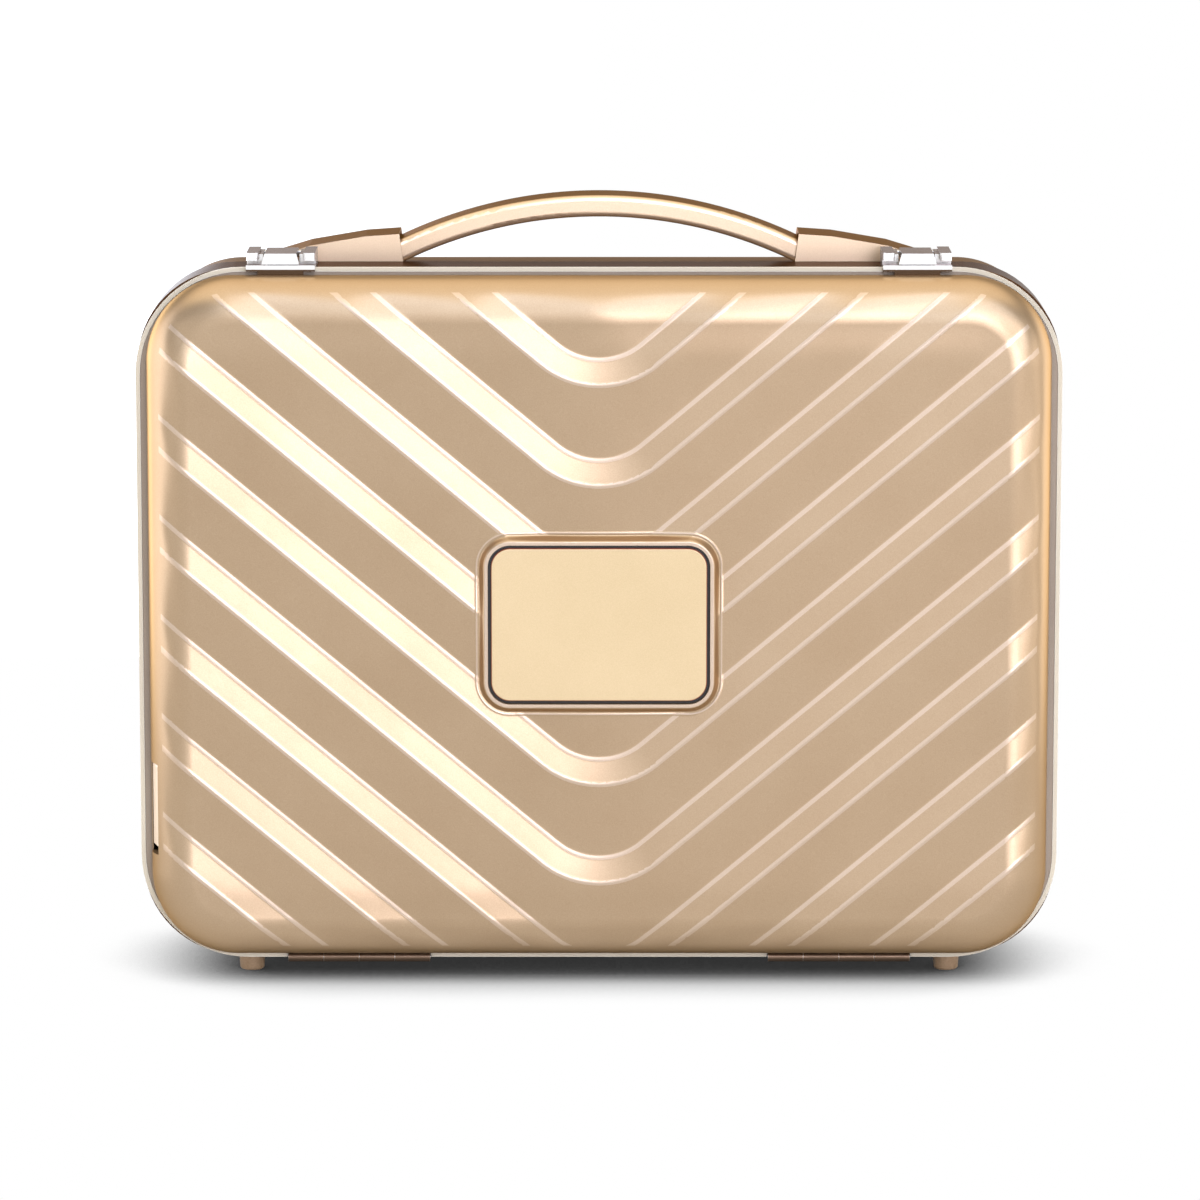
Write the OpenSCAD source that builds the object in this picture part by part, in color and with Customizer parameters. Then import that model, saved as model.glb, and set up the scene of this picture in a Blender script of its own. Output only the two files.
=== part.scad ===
// Hard shell beauty case, standing upright on its feet.
// X runs to the right, Y to the back, Z up. The front shell and its mirror are the lid.
// Case coordinates put y = 0 on the parting plane and z = 0 under the bright lip.

/* [Case] */
// Width across the bright lip
lip_w = 320; // [310:1:335]
// Height across the bright lip
lip_h = 243; // [238:1:252]
// Corner radius of the bright lip
lip_r = 37; // [35:0.5:39]
// Width of the bright lip seen from the front
lip_t = 1.5; // [1.2:0.1:1.8]
// Depth of the back half behind the parting plane
base_depth = 90; // [84:1:110]
// Depth of the lid in front of the parting plane, to the crests of the relief
lid_depth = 18.5; // [18:0.1:20]
// Height of the feet below the lip
foot_h = 6.6; // [5.5:0.1:9]

/* [Shells] */
// Wall thickness of both shells
shell_wall = 2.8; // [2.4:0.1:3]
// Inset of the lid shell from the lip at the sides
lid_inset_x = 4; // [3.6:0.1:4.4]
// Inset of the lid shell from the lip at the top and bottom
lid_inset_z = 2.4; // [2.2:0.1:2.8]
// Corner radius of the lid shell
lid_r = 30; // [28:0.5:32]
// Radius of the round from the lid's face to its sides
lid_edge_r = 15.5; // [14:0.1:15.8]
// Corner radius of the back frame
frame_r = 33; // [32:0.5:34]
// Radius of the round from the back to its sides
base_edge_r = 26; // [22:0.5:27]
// Draft of the back shell's walls, in degrees
base_draft = 3; // [2:0.25:3.5]

/* [Chevron relief] */
// Slope of the chevron arms, in degrees
chevron_angle = 39.8; // [36:0.2:42]
// Upright distance from one chevron to the next
chevron_pitch = 34.8; // [33:0.1:37]
// Height of the lowest whole chevron's inner line above the lip, on the centre line
chevron_first = 39.6; // [37:0.1:42]
// Width of the steep ramp, square to the arm
ramp_w = 9.2; // [8:0.1:11]
// Radius of the inner line where two arms meet
bend_r = 22; // [21:0.1:26]
// Depth of the relief
relief = 1.5; // [0.8:0.1:1.6]
// Width of the flat left along each crest
crest_w = 1.2; // [1:0.1:2]

/* [Frames and seal] */
// Inset of the back frame from the lip
frame_inset = 0.64; // [0.5:0.02:0.9]
// Width of the back frame, front to back
frame_depth = 22.4; // [20:0.1:24]
// Thickness of the frame strips
frame_t = 0.8; // [0.7:0.05:1]
// Thickness of the flat webs in both frames
web_t = 1.6; // [1.4:0.1:1.8]
// How far the frame webs reach inwards
web_w = 7.4; // [7:0.1:8]
// Depth of the inner leg that holds the back shell
leg_depth = 10.8; // [8:0.1:12]
// Gap between the closed lid and the parting plane
parting_gap = 0.3; // [0.25:0.05:0.4]
// Thickness of the lid frame's web
lid_web_t = 2.1; // [1.8:0.1:2.2]
// Depth of the lid frame's leg
lid_leg_depth = 5.4; // [5:0.1:5.8]

/* [Nameplate] */
// Width of the nameplate
plate_w = 74.4; // [66:0.2:80]
// Height of the nameplate
plate_h = 53.3; // [48:0.1:57]
// Corner radius of the nameplate
plate_r = 6.6; // [5:0.1:8]
// Thickness of the nameplate
plate_t = 1.6; // [1.2:0.1:1.8]
// Dark gap round the nameplate
plate_gap = 1.1; // [0.8:0.1:1.4]
// Width of the raised border round the nameplate
plate_border = 2.7; // [2.4:0.1:3.2]
// Height of the raised border over the crests
plate_rise = 1.8; // [1.5:0.1:2.2]

/* [Handle] */
// Length of the grip between its end blocks
grip_span = 135; // [126:1:144]
// Depth of the grip, front to back
grip_depth = 20; // [18:0.5:22]
// Wall of each end block beside the grip
block_wall = 1.5; // [1.2:0.1:2]
// Thickness of the grip
grip_t = 7.6; // [6.8:0.1:8.4]
// Height of the grip's crest over the lip
grip_rise = 22.3; // [21:0.1:26]
// Radius of the grip's centre line
grip_r = 158.6; // [150:0.2:175]
// Distance from the parting plane to the front of the handle
handle_y = 24; // [23.5:0.1:27]
// Height of the end blocks over the lip, at their tall end
block_rise = 8.9; // [8.4:0.1:10]
// Length of each end block
block_len = 51; // [46:0.5:56]

// Distance from an end block's face to its first screw
screw_near = 14; // [12:0.5:15]
// Distance from an end block's face to its second screw
screw_far = 32; // [30:0.5:33]
// Radius of the handle's screws
screw_r = 2; // [1.6:0.1:2.2]
// Length of the steel plate behind each end block
handle_plate_w = 32; // [30:1:36]

/* [Latches] */
// Distance of each latch's middle from the lip's side
latch_in = 50.5; // [48:0.5:56]
// Width of each latch
latch_w = 23.7; // [22:0.1:25]
// Height of each latch over the lip
latch_rise = 5.05; // [4.7:0.05:5.4]
// Width of the lever between the lugs
lever_w = 10.9; // [9.5:0.1:11.5]
// Width of each lug
lug_w = 4.1; // [3.6:0.1:4.4]
// Thickness of the lever
lever_t = 1.6; // [1.4:0.05:1.8]
// Radius of the lever's pin
latch_pin_r = 0.8; // [0.6:0.05:0.9]

/* [Hinges and feet] */
// Distance of each hinge's middle from the lip's side
hinge_in = 76; // [74:0.5:82]
// Length of each hinge
hinge_len = 49.8; // [44:0.2:54]
// Knuckles in each hinge
knuckles = 4; // [4:2:6]
// Radius of the knuckles
knuckle_r = 1.8; // [1.7:0.05:1.9]
// Radius of the hinge pin
hinge_pin_r = 0.8; // [0.6:0.05:0.9]
// Distance of each foot's middle from the lip's side
foot_in = 37.7; // [37:0.1:42]
// Diameter of each foot at its top
foot_d = 9.5; // [8.5:0.1:11]
// Distance from the parting plane to the front feet
foot_front_y = 12; // [9:0.5:14]
// Distance from the parting plane to the rear feet
foot_rear_y = 58; // [50:0.5:60]

/* [Charging port] */
// Height of the port cover's lower end above the lip
port_z = 41.8; // [38:0.2:50]
// Length of the port cover, upwards
port_len = 28.9; // [26:0.1:32]
// Length of the finger notch under the cover
notch_len = 2.8; // [2.4:0.1:4]
// Width of the port window, front to back
port_w = 8.6; // [8:0.1:9]
// Thickness of the port cover
port_t = 1.8; // [1.6:0.1:2]

/* [Mirror] */
// Border beside the mirror, from the lip's side
mirror_side = 46; // [42:0.5:56]
// Border over and under the mirror, from the lip's edge
mirror_end = 42.5; // [39:0.5:50]
// Width of the light strip round the mirror
light_w = 4; // [3:0.5:6]

// Thickness of the battery pack
battery_t = 6; // [5:0.5:7]
// Width of the battery pack
battery_w = 70; // [60:1:80]
// Height of the battery pack
battery_h = 44; // [36:1:50]
// Width of the control board
board_w = 52; // [46:1:60]
// Height of the control board
board_h = 26; // [22:1:30]
// Thickness of the control board
board_t = 1.6; // [1.4:0.1:1.8]

/* [Interior] */
// Thickness of the lining
lining_t = 1.6; // [1.2:0.1:2]
// Thickness of a padded divider
divider_t = 4; // [3:0.5:6]
// Distance from the parting plane to the front of the dividers
divider_y = 20; // [16:1:30]
// Distance of each upright divider from the middle
divider_x = 52; // [40:1:70]

/* [Fits] */
// Clearance on each side of a piece that sits in another
seat = 0.05; // [0.03:0.01:0.08]
// Clearance on the radius of a turning pin
turn = 0.08; // [0.05:0.01:0.1]
// Clearance round a soft piece, or between pieces that pass each other
pass = 0.3; // [0.25:0.05:0.4]

/* [Hidden] */
$fn = 96;

// Heights and depths that several pieces share
face_y = lid_depth + plate_rise;
parting_y = (face_y - base_depth) / 2;
mid_z = lip_h / 2;
over = 1;

// Lid shell
lid_w = lip_w - 2*lid_inset_x;
lid_h = lip_h - 2*lid_inset_z;
lid_back = parting_gap + lid_web_t;
lid_shell_d = lid_depth - lid_back;

// Back frame and back shell
frame_w = lip_w - 2*frame_inset;
frame_hgt = lip_h - 2*frame_inset;
shell_inset = frame_inset + frame_t + seat;
shell_w = lip_w - 2*shell_inset;
shell_h = lip_h - 2*shell_inset;
shell_r = frame_r - frame_t - seat;
rim_depth = 1.6;
shell_top = lip_h - frame_inset - frame_t - seat;
web_back = rim_depth + web_t;
frame_back = rim_depth + frame_depth;
leg_inset = shell_inset + shell_wall + seat;

// Relief, in its own distances square to an arm
chevron_run = chevron_pitch * cos(chevron_angle);
band_w = chevron_run - ramp_w;
rows_below = floor(lip_w/2 * tan(chevron_angle) / chevron_pitch);
rows_above = floor((lip_h - chevron_first - lid_edge_r) / chevron_pitch);
arm_len = lip_w/2 / cos(chevron_angle) + bend_r;

// Nameplate pocket
pocket_w = plate_w + 2*plate_gap;
pocket_h = plate_h + 2*plate_gap;
pocket_r = plate_r + plate_gap;
pocket_y = lid_depth + plate_rise - 2.6;
backing_t = 0.6;

// Handle
grip_z = lip_h + grip_rise - grip_r - grip_t/2;
tenon = 6;
block_x = grip_span/2;
block_depth = grip_depth + 2*block_wall;
handle_mid = handle_y + block_depth/2;

// Latch, in heights over the lip
latch_x = lip_w/2 - latch_in;
latch_z = lip_h;
latch_front = -3.2;
keeper_top = 1;
keeper_low = -1.1;
tongue_t = 1.1;
barrel_r = lever_t/2 + latch_pin_r + 0.05;
latch_pin_z = latch_rise - barrel_r;
latch_pin_y = 16.5;
latch_back = 21;
latch_plate_t = 0.6;
latch_rivet_y = [6, 11];

// Hinge
hinge_x = lip_w/2 - hinge_in;
foot_x = lip_w/2 - foot_in;
hinge_y = -0.9;
hinge_z = 0.3;
leaf_t = 0.8;
knuckle_len = hinge_len / knuckles;
knuckle_gap = 0.1;
lid_leaf_h = 8;
base_leaf_y = 15;
rivet_r = 1.2;
base_rivet_y = 10.5;

// Port cover, on the chord of the lid's side round
port_arc = lid_edge_r - (lid_shell_d - lid_edge_r);
port_strip = 0.9;
port_front = port_strip + port_w;
port_rise = lid_edge_r - sqrt(pow(lid_edge_r, 2) - pow(port_front - (lid_shell_d - lid_edge_r), 2));
port_tilt = atan(port_rise / port_front);
port_mid_x = -lid_w/2 + port_rise/2;
port_mid_y = -lid_back - port_front/2;
port_pivot_z = port_z + port_len - port_t/2;
port_pin_r = 0.45;
port_shift = 0.7;
cup_depth = 12;
port_cup_y = -lid_back - port_front - 0.1;

// Mirror and what lies behind it
panel_inset = lid_inset_x + shell_wall + 2.9;
panel_w = lip_w - 2*panel_inset;
panel_h = lip_h - 2*(lid_inset_z + shell_wall + 2.9);
panel_r = lid_r - shell_wall - 2.9;
panel_front = 3.4;
panel_back = 1;
mirror_w = lip_w - 2*mirror_side;
mirror_h = lip_h - 2*mirror_end;
window_w = mirror_w + 2*light_w;
window_h = mirror_h + 2*light_w;
window_r = 12;
tray_y = 5.8;
tray_t = 1.2;

// Lining and the spaces between the dividers
lining_inset = leg_inset + frame_t + pass + 1.5;
lining_back = base_depth - shell_wall - seat;

// Places
module at_case() translate([0, parting_y, foot_h]) children();
module facing_front(y = 0) translate([0, -y, mid_z]) rotate([90, 0, 0]) children();
module facing_back(y = 0) translate([0, y, mid_z]) mirror([0, 1, 0]) rotate([90, 0, 0]) children();
module at_top_wall() translate([0, frame_back, lip_h - shell_inset]) rotate([-base_draft, 0, 0]) children();
module at_bottom_wall() translate([0, frame_back, shell_inset]) rotate([base_draft, 0, 0]) children();

// Outlines
module rounded_rect(w, h, r) {
  square([w - 2*r, h], center = true);
  square([w, h - 2*r], center = true);
  for (x = [-1, 1], y = [-1, 1]) translate([x*(w/2 - r), y*(h/2 - r)]) circle(r);
}

module ring(w, h, r, t) {
  difference() {
    rounded_rect(w, h, r);
    rounded_rect(w - 2*t, h - 2*t, r - t);
  }
}

// Half section of a moulded shell: r outwards from the corner's axis, y away from its open side
module wall_profile(r, depth, edge, draft, below) {
  sink = draft > 0 ? 0.003 : 0;
  cy = depth - edge;
  cx = r - cy*tan(draft) - edge/cos(draft);
  touch = [cx, cy] + (edge - sink)*[cos(draft), sin(draft)];
  polygon([[0, -below], [r, -below], [r, 0], touch, [cx, depth - sink], [0, depth]]);
  intersection() {
    translate([cx, cy]) circle(edge);
    square([r, depth + 1]);
  }
}

// Solid of a moulded shell with round corners and a round edge, open side at z = 0
module pillow(w, h, r, depth, edge, draft = 0, below = 0) {
  a = w/2 - r;
  b = h/2 - r;
  translate([-a, -b, -below]) cube([2*a, 2*b, depth + below]);
  for (k = [[a, b, 0], [-a, b, 90], [-a, -b, 180], [a, -b, 270]])
    translate([k[0], k[1], 0]) rotate([0, 0, k[2]]) rotate_extrude(angle = 90)
      wall_profile(r, depth, edge, draft, below);
  for (m = [0, 1]) mirror([m, 0, 0]) translate([a, b, 0]) rotate([90, 0, 0]) linear_extrude(2*b)
    wall_profile(r, depth, edge, draft, below);
  for (m = [0, 1]) mirror([0, m, 0]) translate([-a, b, 0]) rotate([90, 0, 90]) linear_extrude(2*a)
    wall_profile(r, depth, edge, draft, below);
}

// One chevron's cut: a gentle band above the inner line and a steep ramp below it
module groove_profile() {
  lift = 0.04;
  k = 1 + lift/relief;
  gentle = (band_w - crest_w/2) * k;
  steep = (ramp_w - crest_w/2) * k;
  polygon([[-gentle, lift], [0, -relief], [steep, lift], [steep, 0.6], [-gentle, 0.6]]);
}

module groove(inner_z) {
  bent = inner_z > bend_r;
  for (m = [0, 1]) mirror([m, 0, 0]) intersection() {
    translate([0, inner_z - mid_z + bend_r, 0]) rotate([0, 0, -90 - chevron_angle]) {
      if (bent) rotate_extrude(angle = chevron_angle + 6) translate([bend_r, 0]) groove_profile();
      rotate([90, 0, 0]) linear_extrude(arm_len) translate([bend_r, 0]) groove_profile();
    }
    translate([-lip_w, -2*lip_h, -2*relief]) cube([lip_w, 4*lip_h, 4*relief]);
  }
}

module grooves() {
  for (row = [-rows_below : rows_above]) groove(chevron_first + row*chevron_pitch);
}

// Lid shell, with the relief, the raised border and the port window
module port_frame() translate([port_mid_x, port_mid_y, port_pivot_z])
  rotate([0, 0, 180 + port_tilt]) children();

module port_pin_hole(r, extra) {
  port_frame() translate([-port_t/2 - 0.2, port_shift, 0]) rotate([90, 0, 0])
    cylinder(h = port_front + extra, r = r, center = true);
}

module lid_shell_blank() {
  difference() {
    pillow(lid_w, lid_h, lid_r, lid_shell_d, lid_edge_r);
    translate([0, 0, lid_shell_d]) grooves();
  }
  translate([0, 0, lid_shell_d - relief - 0.5])
    pillow(pocket_w + 2*plate_border, pocket_h + 2*plate_border, pocket_r + plate_border,
      relief + 0.5 + plate_rise, plate_rise);
}

module lid_shell() {
  color("BurlyWood") at_case() difference() {
    facing_front(lid_back) difference() {
      lid_shell_blank();
      pillow(lid_w - 2*shell_wall, lid_h - 2*shell_wall, lid_r - shell_wall,
        lid_shell_d - shell_wall, lid_edge_r - shell_wall, 0, over);
      translate([0, 0, pocket_y - lid_back]) linear_extrude(10)
        rounded_rect(pocket_w, pocket_h, pocket_r);
    }
    translate([-lid_w/2 - over, -lid_back - port_front, port_z - notch_len])
      cube([shell_wall + port_rise + 3*over, port_w, port_len + notch_len + pass]);
    port_pin_hole(port_pin_r + seat, 0.8);
  }
}

// Lid frame: web behind the shell's edge and a leg inside it, cut out at the port and hinges
module lid_frame() {
  web_in = 0.4;
  leg_in = shell_wall + 1.6;
  color("DimGray") at_case() difference() {
    union() {
      facing_front(parting_gap) linear_extrude(lid_web_t)
        ring(lid_w - 2*web_in, lid_h - 2*web_in, lid_r - web_in, 5.2);
      facing_front(lid_back) linear_extrude(lid_leg_depth)
        ring(lid_w - 2*leg_in, lid_h - 2*leg_in, lid_r - leg_in, 1);
      facing_front(panel_front) linear_extrude(1.2)
        ring(lid_w - 2*leg_in, lid_h - 2*leg_in, lid_r - leg_in, 4.5);
    }
    translate([-lid_w/2 + shell_wall, -lid_back - 6, port_z - notch_len - 2])
      cube([cup_depth, 6, port_len + notch_len + 4]);
    for (s = [-1, 1]) translate([s*hinge_x - hinge_len/2 - pass, -leaf_t - parting_gap - seat, 0])
      cube([hinge_len + 2*pass, leaf_t + parting_gap + seat, lid_leaf_h + pass]);
    lid_rivets(rivet_r + seat, over);
  }
}

module nameplate_backing() {
  color("Black") at_case() facing_front(pocket_y) linear_extrude(backing_t)
    rounded_rect(pocket_w - 2*seat, pocket_h - 2*seat, pocket_r - seat);
}

module nameplate() {
  bevel = 0.5;
  color("Khaki") at_case() facing_front(pocket_y + backing_t)
    pillow(plate_w, plate_h, plate_r, plate_t, bevel);
}

// Mirror panel: covers the lid's inside and frames the lit mirror
module mirror_panel() {
  color("Linen") at_case() difference() {
    facing_front(panel_back) linear_extrude(panel_front - panel_back) difference() {
      rounded_rect(panel_w, panel_h, panel_r);
      rounded_rect(window_w + 2*seat, window_h + 2*seat, window_r + seat);
    }
    mirror_screw_places() cylinder(h = 10, r = 1.1);
  }
}

module mirror_screw_places() for (x = [-1, 1], z = [-1, 1])
  translate([x*(window_w/2 + 4.5), 0, mid_z + z*(window_h/2 - 12)]) rotate([90, 0, 0]) children();

module mirror_screws() {
  color("Silver") at_case() mirror_screw_places() {
    translate([0, 0, panel_back - 0.5]) cylinder(h = 0.5, r = 2);
    translate([0, 0, panel_back]) cylinder(h = tray_y + tray_t - panel_back, r = 1.05);
  }
}

// Mirror tray: sheet behind the panel, with a raised island that carries the glass
module mirror_tray() {
  flange = 9;
  color("WhiteSmoke") at_case() difference() {
    union() {
      facing_front(tray_y) linear_extrude(tray_t)
        rounded_rect(window_w + 2*flange, window_h + 2*flange, window_r + flange);
      facing_front(panel_back + 2) linear_extrude(tray_y - panel_back - 2 + tray_t/2)
        rounded_rect(mirror_w - 10, mirror_h - 10, window_r - light_w);
      facing_front(panel_front) linear_extrude(tray_y - panel_front + tray_t/2)
        ring(window_w + 2*flange, window_h + 2*flange, window_r + flange, flange - 0.5);
    }
    mirror_screw_places() cylinder(h = 10, r = 1.1);
  }
}

module mirror_glass() {
  color("LightSteelBlue") at_case() facing_front(panel_back) linear_extrude(2)
    rounded_rect(mirror_w - 2*seat, mirror_h - 2*seat, window_r - light_w);
}

module light_diffuser() {
  color("White") at_case() facing_front(panel_back + 0.2) linear_extrude(1.8)
    ring(window_w - 2*seat, window_h - 2*seat, window_r, light_w - 3*seat);
}

module light_strip() {
  color("Gold") at_case() facing_front(tray_y - 0.6) linear_extrude(0.6)
    ring(window_w - 2*0.8, window_h - 2*0.8, window_r - 0.8, light_w - 1.2);
}

module battery_pack() {
  color("SlateGray") at_case()
    translate([-window_w/4 - battery_w/2, -tray_y - tray_t - battery_t, mid_z - battery_h/2])
      cube([battery_w, battery_t, battery_h]);
}

// Control board on the tray, with its chips towards the shell
module control_board() {
  board = [board_w, board_t, board_h];
  corner = [3 - window_w/2, -tray_y - tray_t - board[1], mid_z - window_h/2 + 2];
  color("SeaGreen") at_case() translate(corner) {
    cube(board);
    for (chip = [[0.15, 0.3, 0.15, 1.4], [0.46, 0.2, 0.135, 2.4], [0.75, 0.4, 0.12, 1.2]])
      translate([chip[0]*board_w, -chip[3]*board_t/1.6, chip[1]*board_h])
        cube([chip[2]*board_w, chip[3]*board_t/1.6, chip[2]*board_w]);
  }
}

// Port housing: cup bonded inside the window, round the charging socket
module port_cup(grow) translate([-lid_w/2 + shell_wall - over, port_cup_y - grow, port_z - notch_len - grow])
  cube([cup_depth - 1 + over + grow, port_w - 1 + 2*grow, port_len + notch_len + 2*grow]);

module port_housing() {
  color("DimGray") at_case() difference() {
    intersection() {
      port_cup(1);
      facing_front(lid_back) pillow(lid_w - 2*(shell_wall + seat), lid_h - 2*(shell_wall + seat),
        lid_r - shell_wall - seat, lid_shell_d - shell_wall - seat, lid_edge_r - shell_wall - seat);
    }
    port_cup(0);
    socket_place() cube([9, 3.3, 9.1]);
  }
}

module socket_place()
  translate([-lid_w/2 + shell_wall + cup_depth - 4, port_cup_y + port_w/2 - 2.15, port_z + 5]) children();

module charge_socket() {
  color("Silver") at_case() socket_place() translate([0, seat, seat]) difference() {
    cube([6, 3.2, 9]);
    translate([-over, 0.5, 0.4]) cube([5 + over, 2.2, 8.2]);
  }
}

// Port cover: a flat flap with a rolled top end on a pin
module port_cover() {
  run = port_front - 1.9;
  color("PeachPuff") at_case() port_frame() translate([0, port_shift, 0]) {
    difference() {
      union() {
        translate([-port_t - 0.2, -run/2, -port_len + port_t/2]) cube([port_t, run, port_len - port_t/2]);
        translate([-port_t/2 - 0.2, 0, 0]) rotate([90, 0, 0])
          cylinder(h = run, r = port_t/2, center = true);
      }
      translate([-port_t/2 - 0.2, 0, 0]) rotate([90, 0, 0])
        cylinder(h = run + 2*over, r = port_pin_r + turn, center = true);
    }
  }
}

module port_cover_pin() {
  color("Silver") at_case() port_pin_hole(port_pin_r, 0.6);
}

// Latches: body and lever on the back frame, keeper on the lid
module at_latch(side) translate([side*latch_x, 0, latch_z]) children();

module latch_keeper(side) {
  bar_y = latch_front;
  color("GhostWhite") at_case() at_latch(side) {
    translate([-latch_w/2, bar_y, keeper_low])
      cube([latch_w, -bar_y - parting_gap, keeper_top - keeper_low]);
    translate([-latch_w/3, -lid_back, -lid_inset_z - 0.4])
      cube([2*latch_w/3, lid_web_t, keeper_low + lid_inset_z + 0.4]);
  }
}

module latch_lug(x) {
  r = 1.1;
  low = 2.4;
  nose = -1.2;
  inner = x - lug_w/2;
  difference() {
    union() {
      translate([inner, nose + r, low]) cube([lug_w, latch_back - nose - 2*r, latch_rise - low]);
      for (dx = [r, lug_w - r]) translate([inner + dx, nose + r, low])
        cylinder(h = latch_rise - low, r = r);
      translate([inner + r, nose, low]) cube([lug_w - 2*r, 2*r, latch_rise - low]);
      translate([inner, 4, 0]) cube([lug_w, latch_back - 4 - r, latch_rise]);
    }
    translate([x, latch_pin_y, latch_pin_z]) rotate([0, 90, 0])
      cylinder(h = lug_w + 2*over, r = latch_pin_r + seat/2, center = true);
  }
}

module latch_cheek(s) {
  cheek_t = 1.4;
  inner = latch_w/2 - lug_w - cheek_t/2;
  difference() {
    translate([s*inner - cheek_t/2 - 0.1, 4, 0]) cube([cheek_t + 0.2, latch_back - 5.1, latch_rise - 0.9]);
    translate([s*inner, latch_pin_y, latch_pin_z]) rotate([0, 90, 0])
      cylinder(h = 4, r = latch_pin_r + seat/2, center = true);
  }
}

module latch_body(side) {
  color("Silver") at_case() at_latch(side) difference() {
    union() {
      translate([-latch_w/2, lip_t + 0.4, -frame_inset])
        cube([latch_w, latch_back - lip_t - 1.5, frame_inset + latch_plate_t]);
      for (s = [-1, 1]) latch_lug(s*(latch_w - lug_w)/2);
      for (s = [-1, 1]) latch_cheek(s);
    }
    latch_rivet_places() translate([0, 0, -frame_inset - over]) cylinder(h = 3, r = rivet_r + seat);
  }
}

module latch_pin(side) {
  color("Silver") at_case() at_latch(side) translate([0, latch_pin_y, latch_pin_z])
    rotate([0, 90, 0]) cylinder(h = latch_w - 1, r = latch_pin_r, center = true);
}

module latch_lever(side) {
  spread = 1.05;
  top = latch_rise;
  low = keeper_top + pass;
  color("GhostWhite") at_case() at_latch(side) difference() {
    union() {
      translate([-lever_w/2, latch_front, top - lever_t])
        cube([lever_w, latch_pin_y - latch_front, lever_t]);
      translate([0, latch_pin_y, latch_pin_z]) rotate([0, 90, 0])
        cylinder(h = lever_w, r = barrel_r, center = true);
      translate([0, latch_front + tongue_t, 0]) rotate([90, 0, 0]) linear_extrude(tongue_t)
        polygon([[-lever_w/2, top], [lever_w/2, top], [lever_w/2 + spread, low], [-lever_w/2 - spread, low]]);
    }
    translate([0, latch_pin_y, latch_pin_z]) rotate([0, 90, 0])
      cylinder(h = lever_w + 2*over, r = latch_pin_r + turn, center = true);
  }
}

module latch_rivet_places() for (y = latch_rivet_y) translate([0, y, 0]) children();

module latch_rivets() {
  tail = frame_inset + frame_t + 1.4;
  color("Silver") at_case() for (side = [-1, 1]) at_latch(side) latch_rivet_places() {
    translate([0, 0, -tail]) cylinder(h = tail + latch_plate_t, r = rivet_r);
    translate([0, 0, latch_plate_t]) cylinder(h = 0.5, r = 2);
  }
}

// Hinges along the bottom, with the pin just in front of the lip
module at_hinge(side) translate([side*hinge_x, hinge_y, hinge_z]) children();

module knuckle_row(first, leaf_dir) {
  for (i = [first : 2 : knuckles - 1]) translate([-hinge_len/2 + i*knuckle_len + knuckle_gap, 0, 0]) {
    difference() {
      union() {
        rotate([0, 90, 0]) cylinder(h = knuckle_len - 2*knuckle_gap, r = knuckle_r);
        children();
      }
      translate([-over, 0, 0]) rotate([0, 90, 0])
        cylinder(h = knuckle_len + 2*over, r = hinge_pin_r + (leaf_dir > 0 ? turn : seat/2));
    }
  }
}

module lid_rivets(r, extra) {
  for (side = [-1, 1], k = [-1, 0, 1])
    translate([side*hinge_x + k*hinge_len/3, extra - parting_gap, lid_leaf_h - 2.6])
      rotate([90, 0, 0]) cylinder(h = lid_web_t + 2*extra, r = r);
}

module lid_hinge_leaf(side) {
  leaf_y = -parting_gap - leaf_t - hinge_y;
  leaf_low = knuckle_r + pass;
  run = knuckle_len - 2*knuckle_gap;
  color("Sienna") at_case() difference() {
    at_hinge(side) {
      knuckle_row(1, 1) translate([0, leaf_y, 0]) cube([run, leaf_t, leaf_low + 0.5]);
      translate([-hinge_len/2, leaf_y, leaf_low])
        cube([hinge_len, leaf_t, lid_leaf_h - leaf_low - hinge_z]);
    }
    lid_rivets(rivet_r + seat, over);
  }
}

module lid_hinge_rivets() {
  color("Silver") at_case() lid_rivets(rivet_r, 0);
}

module base_hinge_leaf(side) {
  leaf_low = frame_inset - leaf_t - hinge_z;
  run = knuckle_len - 2*knuckle_gap;
  leaf_y = knuckle_r + pass;
  color("Sienna") at_case() difference() {
    at_hinge(side) {
      knuckle_row(0, -1) translate([0, 0, leaf_low]) cube([run, leaf_y + 0.5, leaf_t]);
      translate([-hinge_len/2, leaf_y, leaf_low]) cube([hinge_len, base_leaf_y - leaf_y, leaf_t]);
    }
    base_rivets(rivet_r + seat, over);
  }
}

module base_rivet_places() for (side = [-1, 1], k = [-1, 0, 1])
  translate([side*hinge_x + k*hinge_len/3, base_rivet_y, frame_inset - leaf_t]) children();

module base_rivets(r, extra) base_rivet_places() translate([0, 0, -extra])
  cylinder(h = leaf_t + frame_t + 2*extra, r = r);

module base_hinge_rivets() {
  color("Silver") at_case() {
    base_rivets(rivet_r, 0);
    base_rivet_places() translate([0, 0, -0.5]) cylinder(h = 0.5, r = 2);
  }
}

module hinge_pin(side) {
  color("Silver") at_case() at_hinge(side) rotate([0, 90, 0])
    cylinder(h = hinge_len, r = hinge_pin_r, center = true);
}

// Back shell: straight where the frame holds it, then drafted to the relief on the back
module base_outer(inset, back) {
  pillow(shell_w - 2*inset, shell_h - 2*inset, shell_r - inset, base_depth - frame_back - back,
    base_edge_r - max(inset, back), base_draft);
}

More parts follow.
